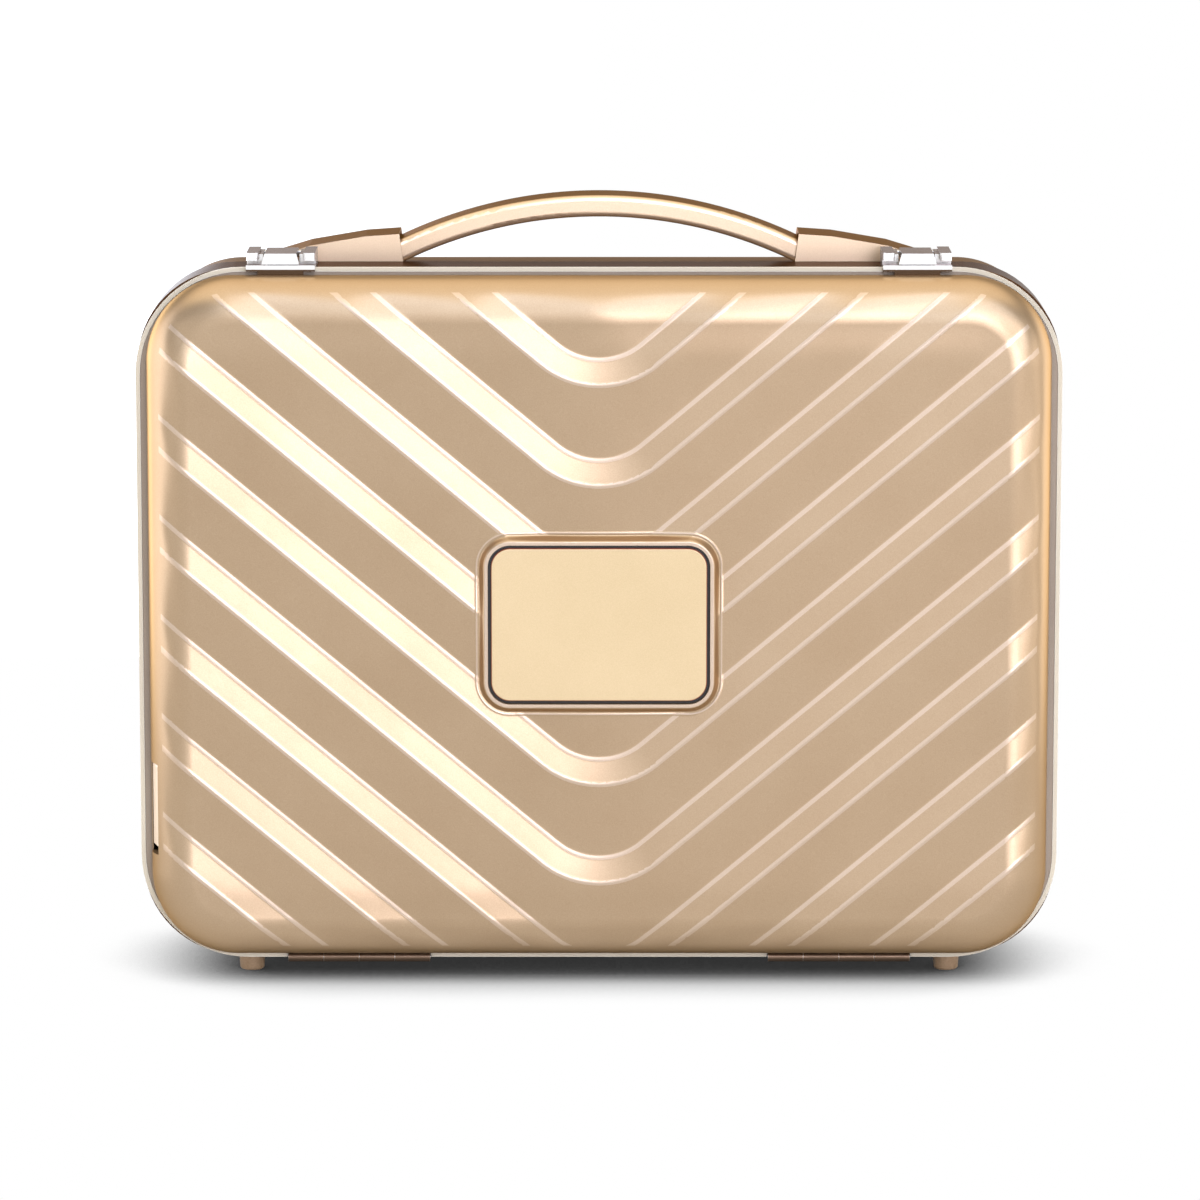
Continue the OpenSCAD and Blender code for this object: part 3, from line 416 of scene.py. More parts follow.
def outline(w, h, r, inset=0.0, arc=1.6, run=4.0):
    """Points round a rounded rectangle, in steps along its corners and its straights."""
    a, b, r = w / 2 - inset, h / 2 - inset, max(r - inset, 0.4)
    corners = []
    count = max(5, round(r * math.pi / 2 / arc))
    for sx, sz, start in ((1, 1, 0), (-1, 1, 90), (-1, -1, 180), (1, -1, 270)):
        for i in range(count + 1):
            t = math.radians(start + 90 * i / count)
            corners.append((sx * (a - r) + r * math.cos(t), sz * (b - r) + r * math.sin(t)))
    points = []
    for p, q in zip(corners, corners[1:] + corners[:1]):
        parts = max(1, round(math.dist(p, q) / run))
        points += [(p[0] + (q[0] - p[0]) * j / parts, p[1] + (q[1] - p[1]) * j / parts)
                   for j in range(parts)]
    return points


def chevron_lines(form, offsets):
    """Polylines along every chevron at the given distances below its inner line."""
    bend_steps, side_steps, run = 9, 60, 4.0
    lines = []
    for row in rows:
        centre = chevron_first + row * chevron_pitch - mid_z + bend_r
        for offset in offsets:
            radius = bend_r + offset
            path = []
            for k in range(-side_steps, side_steps + 1):
                turn = chevron_slope * min(abs(k), bend_steps) / bend_steps
                arm = max(abs(k) - bend_steps, 0) * run
                side = -1 if k < 0 else 1
                path.append((side * (radius * math.sin(turn) + arm * math.cos(chevron_slope)),
                             centre - radius * math.cos(turn) + arm * math.sin(chevron_slope)))
            inside = inset_of(*np.array(path).T, *form["outline"])[0] > 0.05
            part = []
            for point, keep in zip(path, [*inside, False]):
                if keep:
                    part.append(point)
                elif part:
                    lines.append(part)
                    part = []
    return [line for line in lines if len(line) > 1]


def triangles(rings, lines=()):
    """Plane triangles over closed rings and open lines, as an array of points and a list of faces."""
    points, edges = [], []
    for path, closed in [(ring, True) for ring in rings] + [(line, False) for line in lines]:
        base, count = len(points), len(path)
        points += path
        edges += [(base + i, base + (i + 1) % count) for i in range(count if closed else count - 1)]
    found = delaunay_2d_cdt([Vector(p) for p in points], edges, [], 0, 1e-5)
    return np.array([(p.x, p.y) for p in found[0]]), [tuple(face) for face in found[2]]


class Skin:
    """Collects smooth sheets that meet at hard edges, each with its own normals, in case millimetres."""

    def __init__(self, name):
        self.name, self.points, self.index = name, [], {}
        self.faces, self.normals, self.slots = [], [], []

    def sheet(self, points, normals, faces, slots=None):
        """Adds faces; the points join those already there, and each face turns to its normals."""
        points, normals = np.asarray(points, dtype=float), np.asarray(normals, dtype=float)
        places = []
        for point in points:
            key = tuple(np.round(point, 3))
            places.append(self.index.setdefault(key, len(self.points)))
            if places[-1] == len(self.points):
                self.points.append(key)
        first, second, third = (points[[face[i] for face in faces]] for i in range(3))
        across = np.cross(second - first, third - first)
        facing = (across * normals[[face[0] for face in faces]]).sum(axis=1)
        for face, way, slot in zip(faces, facing, [0] * len(faces) if slots is None else slots):
            face = face if way > 0 else face[::-1]
            corners = [places[i] for i in face]
            if len(set(corners)) == len(corners):
                self.faces.append(corners)
                self.slots.append(int(slot))
                self.normals += [tuple(normals[i]) for i in face]

    def strip(self, first, second, normals, closed=True):
        """Quads between two rows of points."""
        count = len(first)
        last = count if closed else count - 1
        faces = [(i, (i + 1) % count, count + (i + 1) % count, count + i) for i in range(last)]
        self.sheet([*first, *second], [*normals] * 2, faces)

    def wall(self, shape, inset, start, end, inwards=False):
        """A straight wall along an outline, between two depths."""
        ring = outline(*shape, inset)
        _, out_x, out_z = inset_of(*np.array(ring).T, *shape)
        sign = -1 if inwards else 1
        self.strip([(x, start, z + mid_z) for x, z in ring], [(x, end, z + mid_z) for x, z in ring],
                   [(sign * a, 0, sign * c) for a, c in zip(out_x, out_z)])

    def rim(self, outer, inner, y, way):
        """A level rim between two outlines."""
        flat, faces = triangles([outline(*outer), outline(*inner)])
        keep = [f for f in faces if inset_of(*flat[list(f)].mean(axis=0)[:, None], *inner)[0][0] < 0]
        self.sheet([(x, y, z + mid_z) for x, z in flat], [(0, way, 0)] * len(flat), keep)

    def build(self, *materials):
        mesh = bpy.data.meshes.new(self.name)
        mesh.from_pydata([at_case(*p) for p in self.points], [], self.faces)
        mesh.polygons.foreach_set("use_smooth", [True] * len(mesh.polygons))
        mesh.polygons.foreach_set("material_index", self.slots)
        mesh.normals_split_custom_set(self.normals)
        for material in materials:
            mesh.materials.append(material)
        piece = bpy.data.objects.new(self.name, mesh)
        bpy.context.scene.collection.objects.link(piece)
        return piece


def flat_face(x, z):
    return np.zeros_like(x)


# Border round the nameplate's pocket: its rise and where it falls off, a fine ridge round it with the half
# width of the band on it painted pale as a highlight, and the distances up to which the border and from
# which the chevrons' beads are painted pale as a painted highlight.
border_rise = 1.8
border_top, border_foot = 1.1, 3.3
ridge_out, ridge_rise, ridge_w, ridge_highlight_w = 3.9, 0.14, 0.4, 0.35
border_highlight_out, bead_highlights_from = 1.2, 4.5
border_rings = np.linspace(0, 4.8, 17)
pocket_arc, pocket_run = 0.8, 2.0


def moulded_sheet(skin, form, insets, offsets=(), turned=False):
    """The face of a moulded form as one smooth sheet; turned makes it the inside."""
    arc, run = (1.1, 1.6) if offsets else (1.6, 4.0)
    rings = [outline(*form["outline"], inset, arc, run) for inset in insets]
    if "pocket" in form:
        rings += [outline(*form["pocket"], -out, pocket_arc, pocket_run) for out in border_rings]
    flat, faces = triangles(rings, chevron_lines(form, offsets) + form.get("lines", []))
    x, z = flat.T
    height, normal = pressed(x, z, form)
    middles = np.array([flat[list(face)].mean(axis=0) for face in faces]).T
    keep = inset_of(*middles, *form["outline"])[0] > 0
    # The second slot holds the faces painted pale as a highlight on the beads and round the border, and on
    # the lining the seams in darker thread
    beads = np.zeros(len(faces), dtype=bool)
    if offsets:
        beads = bead_distance(*middles) < bead_highlight_share * bead_w
        beads &= inset_of(*middles, *form["outline"])[0] > 0.3 * form["edge"]
    if "pocket" in form:
        out = -inset_of(*middles, *form["pocket"])[0]
        keep &= out > 0
        beads = beads & (out > bead_highlights_from) | (out < border_highlight_out) | (abs(out - ridge_out) < ridge_highlight_w)
    if "seams" in form:
        beads = form["seams"](*middles)
    if "window" in form:
        x1, z0, z1 = form["window"]
        keep &= ~((middles[0] < x1) & (middles[1] > z0) & (middles[1] < z1))
    way, base, sign = form["way"], form["base"], -1 if turned else 1
    points = np.stack([x, base + way * height, z + mid_z], axis=-1)
    normals = sign * np.stack([normal[:, 0], way * normal[:, 2], normal[:, 1]], axis=-1)
    skin.sheet(points, normals, [face for face, good in zip(faces, keep) if good], beads[keep])


def inner_form(form, wall):
    """The plain inside of a moulded form."""
    w, h, r = form["outline"]
    return {"outline": (w - 2 * wall, h - 2 * wall, r - wall), "edge": form["edge"] - wall,
            "depth": form["depth"] - wall, "draft": form["draft"], "way": form["way"], "base": form["base"],
            "relief": flat_face, "crown": 0}


window_steps = 9


def with_window(form, low, high, front):
    """A form with the port window cut into its left side, from its open side to a depth in front."""
    edge = form["edge"]
    inset = edge - math.sqrt(edge**2 - (front - (form["depth"] - edge)) ** 2)
    x0, x1 = -form["outline"][0] / 2 - 0.5, -form["outline"][0] / 2 + inset
    steps = np.linspace(0, 1, window_steps)
    lines = [[(x0 + (x1 - x0) * t, z - mid_z) for t in steps] for z in (low, high)]
    lines.append([(x1, low + (high - low) * t - mid_z) for t in steps])
    return dict(form, window=(x1, low - mid_z, high - mid_z), lines=lines)


shell_wall = 2.8
lid_r, lid_edge_r = 30.0, 15.5
pocket_gap, pocket_r = 0.1, 7.7
window_low, window_high, window_front = 39.0, 71.0, 9.5
bead_steps = (-1.3, -0.9, -0.5, -0.2, 0.1, 0.5, 0.9, 1.3, 1.7)
edge_offsets = [edge + side for edge in (0, ramp_w) for side in bead_steps] + [4.6, -4, -8, -12]


def build_lid_skin():
    w, d, h, front, back = node_size("lid_shell")
    backing_w, _, backing_h, _, pocket_y = node_size("nameplate_backing")
    pocket = (backing_w + pocket_gap, backing_h + pocket_gap, pocket_r)

    def lid_relief(x, z):
        out = -inset_of(x, z, *pocket)[0]
        swell = 1 - smoothstep(border_top, border_foot, out)
        ridge = ridge_rise * np.exp(-(((out - ridge_out) / ridge_w) ** 2))
        return -chevron_depth(x, z) * (1 - swell) + border_rise * swell + ridge

    window = (window_low, window_high, window_front)
    form = {"outline": (w, h, lid_r), "edge": lid_edge_r, "depth": d - border_rise, "draft": 0, "way": -1,
            "base": back, "relief": lid_relief, "crown": 0.5, "pocket": pocket}
    form = with_window(form, *window)
    inside = with_window(inner_form(form, shell_wall), *window)
    skin = Skin("lid_skin")
    insets = (0, 0.1, 0.35, 0.8, 1.4, 2.1, 2.9, *np.arange(3.8, 17, 0.9), 19, 22)
    moulded_sheet(skin, form, insets, edge_offsets)
    moulded_sheet(skin, inside, (0, 0.3, 1, 2, 3.5, 5.5, 8, 10.5, 12.7), turned=True)
    straight = form["depth"] - form["edge"]
    skin.wall(form["outline"], 0, back - straight, back)
    skin.wall(inside["outline"], 0, back - straight, back, inwards=True)
    skin.rim(form["outline"], inside["outline"], back, 1)
    # Wall and floor of the nameplate's pocket
    ring = outline(*pocket, 0, pocket_arc, pocket_run)
    _, out_x, out_z = inset_of(*np.array(ring).T, *pocket)
    brim = [(x, front, z + mid_z) for x, z in ring]
    floor_ring = [(x, pocket_y, z + mid_z) for x, z in ring]
    skin.strip(brim, floor_ring, [(-a, 0, -c) for a, c in zip(out_x, out_z)])
    skin.sheet(floor_ring, [(0, -1, 0)] * len(ring), [tuple(range(len(ring)))])
    # Cut faces of the port window, from the outer skin to the inner one
    x0, x1, inner_x = -w / 2, form["window"][0], inside["window"][0] + 0.3
    for z, up in ((window_low, 1), (window_high, -1)):
        xs = np.linspace(x0, x1, window_steps)
        outer = [(x, back - y, z) for x, y in zip(xs, wall_height(xs - x0, form)[0])]
        skin.strip(outer, [(inner_x, p[1], z) for p in outer], [(0, 0, up)] * window_steps, closed=False)
    cut = back - window_front
    corners = [(x1, cut, window_low), (x1, cut, window_high), (inner_x, cut, window_high),
               (inner_x, cut, window_low)]
    skin.sheet(corners, [(0, 1, 0)] * 4, [(0, 1, 2, 3)])
    piece = skin.build(champagne, bead_highlight_lacquer)
    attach(piece, "lid")
    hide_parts("lid_shell")


build_lid_skin()


# Nameplate: a pale gold plate with a satin face, its edge painted copper as a reflection. It sits in the
# pocket on a near-black backing that shows as a thin dark line all round, painted as the shade in the gap
# round the plate.
def paint(material, *names):
    """Gives nodes a material."""
    for name in names:
        nodes[name].data.materials.clear()
        nodes[name].data.materials.append(material)


def soften(width, *names):
    """A small round on the sharp edges of nodes, so that they catch the light."""
    for name in names:
        bevel = nodes[name].modifiers.new("soft_edges", "BEVEL")
        bevel.width = width * mm
        bevel.segments = 2
        bevel.limit_method = "ANGLE"
        bevel.angle_limit = math.radians(40)
        bevel.harden_normals = True


def paint_where(material, mask):
    """Lays a second colour over a material; the mask gives where, and the colour."""
    tree = material.node_tree
    shader = next(node for node in tree.nodes if node.type == "BSDF_PRINCIPLED")
    socket = shader.inputs["Base Color"]
    share, colour = mask(tree)
    tree.links.new(mixed(tree, share, socket.links[0].from_socket, colour), socket)


def plate_edge_reflection(tree):
    """Painted reflection: copper where the plate turns away from its front."""
    face = add(tree, "ShaderNodeSeparateXYZ", {0: add(tree, "ShaderNodeTexCoord").outputs["Normal"]})
    front = add(tree, "ShaderNodeMath", {0: face.outputs["Y"]}, operation="ABSOLUTE").outputs[0]
    mask = add(tree, "ShaderNodeMapRange", {"Value": front, "From Min": 0.97, "From Max": 0.80})
    return mask.outputs["Result"], (0.36, 0.10, 0.05)


plate_gold = surface("plate_gold", lacquer_grain, (0.60, 0.46, 0.27), (0.50, 0.375, 0.205), 0.36, 0.5,
                     bump=0.15, depth=0.05, scale=3200.0, metallic=0.45)
paint_where(plate_gold, plate_edge_reflection)
paint(plate_gold, "nameplate")
# Near-black on the backing: painted shade for the gap round the plate
gap_shade_black = surface("black_backing", lacquer_grain, (0.010, 0.008, 0.007), (0.02, 0.016, 0.012), 0.3, 0.45)
paint(gap_shade_black, "nameplate_backing")


# Lit mirror inside the lid: a grained cream panel, a white tray with a raised island for the glass, and
# a frosted ring over a strip of lights. The battery and the board lie behind the tray.
def in_cells(tree, inp, place, low, high):
    """Zero to one over a distance from the middles of scattered cells."""
    inputs = {"Vector": place, "Scale": inp.outputs["Scale"]}
    cells = add(tree, "ShaderNodeTexVoronoi", inputs, feature="F1")
    spread = {"Value": cells.outputs["Distance"], "From Min": low, "From Max": high}
    return add(tree, "ShaderNodeMapRange", spread).outputs["Result"]


def pebble_nodes(tree, inp, place):
    """Leather grain: small cells with soft furrows between them."""
    furrow = in_cells(tree, inp, place, 0.25, 0.7)
    broad = noise(tree, place, 30.0, 3.0)
    height = add(tree, "ShaderNodeMath", {0: 1.0, 1: furrow}, operation="SUBTRACT").outputs[0]
    return sum_of(tree, furrow, broad, 0.4), height


pebble_grain = pattern("pebble_grain", pebble_nodes, 900.0)
cream_panel = surface("cream_panel", pebble_grain, (0.78, 0.66, 0.53), (0.66, 0.53, 0.41), 0.42, 0.6,
                      bump=0.35, depth=0.15)
white_tray = surface("white_tray", lacquer_grain, (0.80, 0.79, 0.76), (0.74, 0.73, 0.70), 0.35, 0.5)
mirror_silver = surface("mirror_silver", lacquer_grain, (0.93, 0.94, 0.94), (0.90, 0.91, 0.91), 0.02, 0.06,
                        bump=0.0, scale=60.0, metallic=1.0)
frosted_ring = surface("frosted_ring", lacquer_grain, (0.90, 0.89, 0.85), (0.86, 0.85, 0.81), 0.3, 0.4,
                       bump=0.05, transmission_weight=0.2, ior=1.49)
paint(cream_panel, "mirror_panel")
paint(white_tray, "mirror_tray")
paint(mirror_silver, "mirror_glass")
paint(frosted_ring, "light_diffuser")


def strip_nodes(tree, inp, place):
    """A row of small yellow lamps on a white strip."""
    lamp = in_cells(tree, inp, place, 0.35, 0.3)
    return lamp, lamp


lamp_dots = pattern("lamp_dots", strip_nodes, 160.0)
light_strip = surface("light_strip", lamp_dots, (0.75, 0.74, 0.70), (0.80, 0.62, 0.18), 0.4, 0.25)
battery_wrap = surface("battery_wrap", lacquer_grain, (0.10, 0.14, 0.20), (0.07, 0.10, 0.15), 0.25, 0.4)
paint(light_strip, "light_strip")
paint(battery_wrap, "battery_pack")


def board_nodes(tree, inp, place):
    """Copper runs under green lacquer."""
    flat = add(tree, "ShaderNodeMapping", {"Vector": place, "Rotation": (math.pi / 2, 0, 0)})
    inputs = {"Vector": flat.outputs["Vector"], "Scale": inp.outputs["Scale"], "Mortar Size": 0.06}
    runs = add(tree, "ShaderNodeTexBrick", inputs, offset=0.3).outputs["Fac"]
    return runs, runs


board_runs = pattern("board_runs", board_nodes, 500.0)
board_green = surface("board_green", board_runs, (0.012, 0.09, 0.045), (0.06, 0.22, 0.09), 0.25, 0.35)
paint(board_green, "control_board")


# Charging port: a flat moulded cover set in the lid's left wall, which turns on a steel pin at its upper
# end, over a black cup bonded inside the window with the socket in it.
def brushed_nodes(tree, inp, place):
    """Fine scratches along X."""
    drawn = add(tree, "ShaderNodeMapping", {"Vector": place, "Scale": (0.03, 1, 1)})
    streaks = noise(tree, drawn.outputs["Vector"], inp.outputs["Scale"], 3.0)
    broad = noise(tree, place, 70.0, 2.0)
    return sum_of(tree, streaks, broad, 0.3), streaks


brushed = pattern("brushed_metal", brushed_nodes, 4000.0)
steel = surface("steel", brushed, (0.62, 0.61, 0.60), (0.50, 0.49, 0.48), 0.25, 0.4, depth=0.02,
                metallic=1.0)
cover_champagne = surface("cover_champagne", lacquer_grain, (0.83, 0.65, 0.47), (0.74, 0.56, 0.39), 0.3,
                          0.42, depth=0.05, wear_and_highlight=(0.93, 0.80, 0.62), metallic=0.3, coat_weight=0.2)
port_black = surface("port_black", lacquer_grain, (0.022, 0.020, 0.018), (0.04, 0.035, 0.03), 0.4, 0.55)
paint(cover_champagne, "port_cover")
paint(port_black, "port_housing")
paint(steel, "charge_socket", "port_cover_pin", "mirror_screws", "lid_hinge_rivets")
soften(0.25, "port_cover")

# Lid frame: a strip of dark drawn metal behind the lid shell's edge. It carries the mirror panel, the
# latches' bars and the hinges.
dark_frame = surface("dark_frame", brushed, (0.075, 0.062, 0.052), (0.05, 0.042, 0.035), 0.3, 0.45,
                     metallic=0.8)
paint(dark_frame, "lid_frame")

# Lip, seal and frame of the back half: a polished cream lip, a grey rubber seal inside it, and behind
# it a dark glossy brown channel that mirrors the handle's blocks.
cream_lip = surface("cream_lip", lacquer_grain, (0.58, 0.51, 0.40), (0.52, 0.46, 0.35), 0.25, 0.35,
                    bump=0.04, wear_and_highlight=(0.78, 0.74, 0.64), specular_ior_level=0.3)
seal_rubber = surface("seal_rubber", lacquer_grain, (0.31, 0.24, 0.175), (0.24, 0.18, 0.13), 0.45, 0.6)
frame_brown = surface("frame_brown", brushed, (0.09, 0.042, 0.020), (0.065, 0.030, 0.014), 0.10, 0.18,
                      bump=0.08, depth=0.02, wear_and_highlight=(0.20, 0.11, 0.05), metallic=0.55,
                      specular_tint=(0.12, 0.06, 0.03, 1), specular_ior_level=0.0)
paint(cream_lip, "rim_trim")
paint(seal_rubber, "frame_seal")
paint(frame_brown, "base_frame")
soften(0.2, "rim_trim", "base_frame")


# Back shell: a deeper sheet of the same lacquered plastic behind the frame. It narrows a little to the
# back, turns over with a wider round, and is pressed with the same chevrons, their beads painted pale as
# a highlight. Its copy of the lacquer has a much darker flop, painted shade on the back half.
base_r, base_edge_r, base_draft = 32.15, 26.0, 3
# Shaded copy of the lid's lacquer: the same tint with a much darker flop, as painted shade
back_champagne_shaded = lacquer("back_champagne_shaded", shell_tint, shell_deep, (0.20, 0.115, 0.045), (0.26, 0.16, 0.08))


def build_base_skin():
    w, _, h, front, back = node_size("base_shell")
    seam = node_size("base_frame")[4]

    def back_relief(x, z):
        return -chevron_depth(x, z)

    form = {"outline": (w, h, base_r), "edge": base_edge_r, "depth": back - seam, "draft": base_draft,
            "way": 1, "base": seam, "relief": back_relief, "crown": 0.4}
    inside = inner_form(form, shell_wall)
    skin = Skin("back_skin")
    insets = (0, 0.7, 1.4, 2.17, 2.8, 3.6, 4.6, 5.8, 7.2, 9, 11, 13.5, 16.5, 20, 24, 28.1, 32, 36)
    moulded_sheet(skin, form, insets, edge_offsets)
    moulded_sheet(skin, inside, (0, 1.5, 2.2, 3, 5, 8, 12, 17, 25.2), turned=True)
    skin.wall(form["outline"], 0, front, seam)
    skin.wall(inside["outline"], 0, front, seam, inwards=True)
    skin.rim(form["outline"], inside["outline"], front, -1)
    piece = skin.build(back_champagne_shaded, bead_highlight_lacquer)
    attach(piece, "case_back")
    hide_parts("base_shell")


build_base_skin()


# Lining: padded cloth glued over the back shell's inside. Its floor is quilted in diamonds, sewn with a
# darker thread, and a cloth piping finishes its front edge.
def weave_nodes(tree, inp, place):
    """Plain weave: threads along two directions, over and under."""
    axes = add(tree, "ShaderNodeSeparateXYZ", {0: place}).outputs

    def reckon(operation, *values):
        return add(tree, "ShaderNodeMath", dict(enumerate(values)), operation=operation).outputs[0]

    threads = []
    for first in ("X", "Z"):
        along = reckon("ADD", axes[first], axes["Y"])
        threads.append(reckon("SINE", reckon("MULTIPLY", along, inp.outputs["Scale"])))
    crossed = reckon("MULTIPLY", *threads)
    spread = {"Value": crossed, "From Min": -1.0, "From Max": 1.0}
    height = add(tree, "ShaderNodeMapRange", spread).outputs["Result"]
    slubs = noise(tree, place, 160.0, 4.0)
    return sum_of(tree, height, slubs, 0.55), height


weave = pattern("plain_weave", weave_nodes, 5200.0)
lining_cloth = surface("lining_cloth", weave, (0.60, 0.46, 0.33), (0.46, 0.34, 0.235), 0.75, 0.9, bump=0.5,
                       depth=0.15, sheen_weight=0.35, sheen_roughness=0.4)
piping_cloth = surface("piping_cloth", weave, (0.42, 0.29, 0.18), (0.32, 0.21, 0.13), 0.6, 0.8, bump=0.5,
                       depth=0.12, sheen_weight=0.2)


def piping(name, path, radius):
    """A thin cloth cord sewn round an edge, through points in case millimetres."""
    curve = bpy.data.curves.new(name, "CURVE")
    curve.dimensions = "3D"
    curve.bevel_depth = radius * mm
    curve.bevel_resolution = 3
    spline = curve.splines.new("POLY")
    spline.points.add(len(path) - 1)
    for point, place in zip(spline.points, path):
        point.co = (*at_case(*place), 1)
    spline.use_cyclic_u = True
    curve.materials.append(piping_cloth)
    piece = bpy.data.objects.new(name, curve)
    bpy.context.scene.collection.objects.link(piece)
    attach(piece, "case_back")


lining_t, lining_r, lining_edge_r = 1.6, 26.7, 21.7
quilt_pitch, quilt_rise = 30.0, 2.6
quilt_starts, quilt_full = 14, 26
seams_start, seam_share = 16, 0.024
quilt_border = 12
piping_r, piping_in, piping_back = 0.8, 0.9, 2.0
quilt_parts = (0, seam_share, 0.12, 0.28, 0.5, 0.72, 0.88, 1 - seam_share)


def build_lining():
    w, d, h, front, _ = node_size("base_lining")

    def quilt(x, z):
        u, v = (x + z) / quilt_pitch, (x - z) / quilt_pitch
        puff = np.sqrt(np.abs(np.sin(math.pi * u) * np.sin(math.pi * v)) + 0.001)
        return -quilt_rise * puff * smoothstep(quilt_starts, quilt_full, inset_of(x, z, w, h, lining_r)[0])

    def sewn(x, z):
        u, v = (x + z) / quilt_pitch, (x - z) / quilt_pitch
        beside = np.minimum(np.abs(u - np.round(u)), np.abs(v - np.round(v)))
        return (beside < seam_share) & (inset_of(x, z, w, h, lining_r)[0] > seams_start)

    outer = {"outline": (w, h, lining_r), "edge": lining_edge_r, "depth": d, "draft": base_draft, "way": 1,
             "base": front, "relief": flat_face, "crown": 0}
    inner = dict(inner_form(outer, lining_t), relief=quilt, seams=sewn)
    reach_x, reach_z = (side / 2 - quilt_border for side in inner["outline"][:2])
    inner["lines"] = []
    for row in range(-9, 9):
        for part in quilt_parts:
            c = (row + part) * quilt_pitch
            low, high = max(-reach_z, -reach_x - c), min(reach_z, reach_x - c)
            if high - low > 1:
                inner["lines"] += [[(c + low, low), (c + high, high)], [(-c - low, low), (-c - high, high)]]
    skin = Skin("lining_cloth")
    moulded_sheet(skin, outer, (0, 1.5, 3, 5, 8, 12, 17, 23.8))
    moulded_sheet(skin, inner, (0, 1, 2, 2.7, 3.5, 5, 7, 9.5, 12.5, 16, 20), turned=True)
    skin.rim(outer["outline"], inner["outline"], front, -1)
    piece = skin.build(lining_cloth, piping_cloth)
    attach(piece, "case_back")
    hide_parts("base_lining")
    edge = [(x, front + piping_back, z + mid_z) for x, z in outline(*inner["outline"], piping_in)]
    piping("lining_piping", edge, piping_r)


build_lining()


# Dividers: thin foam boards covered in the same cloth, standing in the lining. Their front edge is
# rounded, with a sewn line behind it, and shallow tufts cross their faces.
cloth_cell = 1.3
nose_len, nose_share, pad_share = 2, 0.12, 0.96
stitch_back, stitch_w, stitch_pull = 6, 0.9, 0.45
tuft_pitch, tuft_pull = 30, 0.10


def divider(name):
    """A padded board in place of a node: an even mesh of its cloth cover, rounded, sewn and tufted."""
    low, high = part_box(name)
    thin = 0 if high[0] - low[0] < high[2] - low[2] else 2
    middle = (low[thin] + high[thin]) / 2
    piece = bpy.data.objects.new(name + "_pad", nodes[name].data.copy())
    bpy.context.scene.collection.objects.link(piece)
    remesh = piece.modifiers.new("even_cloth", "REMESH")
    remesh.mode = "VOXEL"
    remesh.voxel_size = cloth_cell * mm
    shape = piece.evaluated_get(bpy.context.evaluated_depsgraph_get())
    piece.data = bpy.data.meshes.new_from_object(shape)
    piece.modifiers.clear()
    half = (high[thin] - low[thin]) / 2
    stitches = low[1] + stitch_back * mm
    for vertex in piece.data.vertices:
        place = vertex.co
        behind = (place.y - low[1]) / (nose_len * mm)
        nose = math.sqrt(max(0.0, 1 - (1 - min(behind, 1)) ** 2))
        sewn = 1 - stitch_pull * math.exp(-(((place.y - stitches) / (stitch_w * mm)) ** 2))
        along = place.z if thin == 0 else place.x
        tuft = 1 - tuft_pull * abs(math.sin(along / (tuft_pitch * mm) * math.pi)) ** 8
        offset = (place[thin] - middle) / half
        place[thin] = middle + offset * half * pad_share * max(nose, nose_share) * sewn * tuft
    piece.data.polygons.foreach_set("use_smooth", [True] * len(piece.data.polygons))
    piece.data.materials.clear()
    piece.data.materials.append(lining_cloth)
    smooth = piece.modifiers.new("soft_cloth", "SMOOTH")
    smooth.factor = 0.5
    smooth.iterations = 3
    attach(piece, "case_back")
    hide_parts(name)


for place in ("upright_left", "upright_right", "shelf_left", "shelf_middle_low", "shelf_middle_high",
              "shelf_right"):
    divider("divider_" + place)

# Handle: an arched grip with rounded edges between two wedge blocks, moulded and lacquered like the
# shells, with a steel plate behind each block inside the case. Its lacquer is paler than the shells', and
# its near-black flop paints shade where the grip and blocks turn away from the eye, such as the grip's top.
handle_champagne_shaded = lacquer("handle_champagne_shaded", (0.80, 0.62, 0.445), (0.71, 0.53, 0.36),
                           (0.17, 0.085, 0.012), (0.36, 0.20, 0.09), smooth=0.28, rough=0.36,
                           wear_and_highlight=(0.80, 0.62, 0.42))
paint(handle_champagne_shaded, "handle_grip", "handle_block_left", "handle_block_right")
paint(steel, "handle_plate_left", "handle_plate_right", "handle_screws")
soften(0.5, "handle_block_left", "handle_block_right")


# Latches: polished bodies of brushed metal, a lever between two lugs on each, and a bar on the lid that
# the lever holds. The faces that look up are painted a darker rose brown as shade, and the bar's tab
# behind the lip a dark brown as shade.
def polished(name, tint, deep, *masks):
    """Bright metal, with other colours on the faces that the masks pick."""
    metal = surface(name, brushed, tint, deep, 0.10, 0.22, bump=0.03, depth=0.02, metallic=0.7,
                    specular_tint=(0.15, 0.08, 0.045, 1), specular_ior_level=0.2)
    for mask in masks:
        paint_where(metal, mask)
    return metal


def upward_group():
    """A node group with a Mask of what faces up, from its Starts slope to its Full one."""
    group = bpy.data.node_groups.new("upward_faces", "ShaderNodeTree")
    face = group.interface
    for title, start in (("Starts", 0.15), ("Full", 0.55)):
        face.new_socket(title, in_out="INPUT", socket_type="NodeSocketFloat").default_value = start
    face.new_socket("Mask", in_out="OUTPUT", socket_type="NodeSocketFloat")
    inp, out = add(group, "NodeGroupInput"), add(group, "NodeGroupOutput")
    facing = add(group, "ShaderNodeSeparateXYZ", {0: add(group, "ShaderNodeTexCoord").outputs["Normal"]})
    spread = {"Value": facing.outputs["Z"], "From Min": inp.outputs["Starts"],
              "From Max": inp.outputs["Full"]}
    group.links.new(add(group, "ShaderNodeMapRange", spread).outputs["Result"], out.inputs["Mask"])
    return group


upward_faces = upward_group()


def shaded_tops(tree):
    """Painted shade: a darker rose brown on what faces up."""
    return add(tree, "ShaderNodeGroup", node_tree=upward_faces).outputs["Mask"], (0.25, 0.135, 0.07)


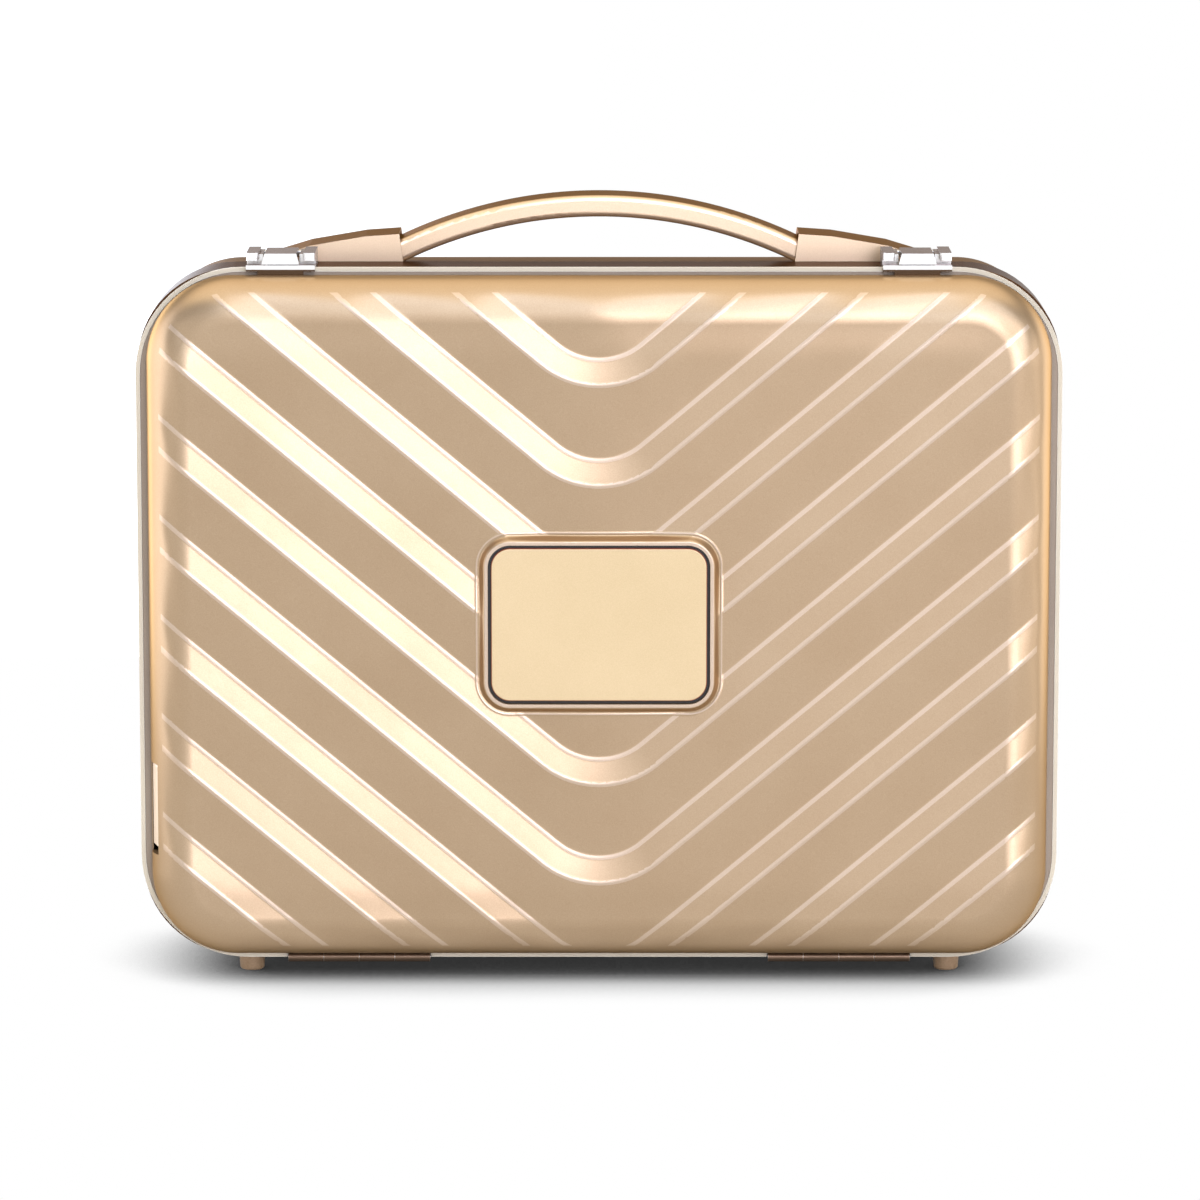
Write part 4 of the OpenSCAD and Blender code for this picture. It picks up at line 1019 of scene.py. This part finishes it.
def shade_below_lip(tree):
    """Painted shade: dark brown on the bar's tab, from just below the top of the lip, where it sits behind
    the lip.
    """
    low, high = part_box("latch_keeper_left")
    lip_share = (lip_high[2] - low[2]) / (high[2] - low[2])
    place = add(tree, "ShaderNodeSeparateXYZ", {0: add(tree, "ShaderNodeTexCoord").outputs["Generated"]})
    spread = {"Value": place.outputs["Z"], "From Min": lip_share - 0.10, "From Max": lip_share - 0.14}
    return add(tree, "ShaderNodeMapRange", spread).outputs["Result"], (0.10, 0.06, 0.035)


latch_metal = polished("latch_metal", (0.93, 0.92, 0.90), (0.88, 0.87, 0.85), shaded_tops)
keeper_metal = polished("keeper_metal", (0.95, 0.94, 0.93), (0.90, 0.89, 0.87), shaded_tops, shade_below_lip)
for side in ("left", "right"):
    paint(latch_metal, "latch_body_" + side, "latch_lever_" + side)
    paint(keeper_metal, "latch_keeper_" + side)
    paint(steel, "latch_pin_" + side)
    soften(0.3, "latch_body_" + side, "latch_lever_" + side, "latch_keeper_" + side)
paint(steel, "latch_rivets")

# Hinges: two thin hinges of dark bronze under the lip. Each has a leaf riveted to either frame, and a
# steel pin through the knuckles of both.
bronze = surface("hinge_bronze", brushed, (0.20, 0.13, 0.085), (0.12, 0.078, 0.05), 0.28, 0.42, bump=0.12,
                 depth=0.02, wear_and_highlight=(0.50, 0.37, 0.26), metallic=0.9)
for side in ("left", "right"):
    paint(bronze, "base_hinge_leaf_" + side, "lid_hinge_leaf_" + side)
    paint(steel, "hinge_pin_" + side)
    soften(0.12, "base_hinge_leaf_" + side, "lid_hinge_leaf_" + side)
paint(steel, "base_hinge_rivets")

# Feet: four tapered studs of champagne coloured plastic under the case, each held by a steel screw from
# the inside.
foot_plastic = surface("foot_plastic", lacquer_grain, (0.40, 0.26, 0.145), (0.30, 0.19, 0.10), 0.35, 0.5,
                       bump=0.2, depth=0.05, scale=1600.0, wear_and_highlight=(0.55, 0.40, 0.26), metallic=0.15)
for end in ("front", "rear"):
    for side in ("left", "right"):
        paint(foot_plastic, f"foot_{end}_{side}")
paint(steel, "foot_screws")
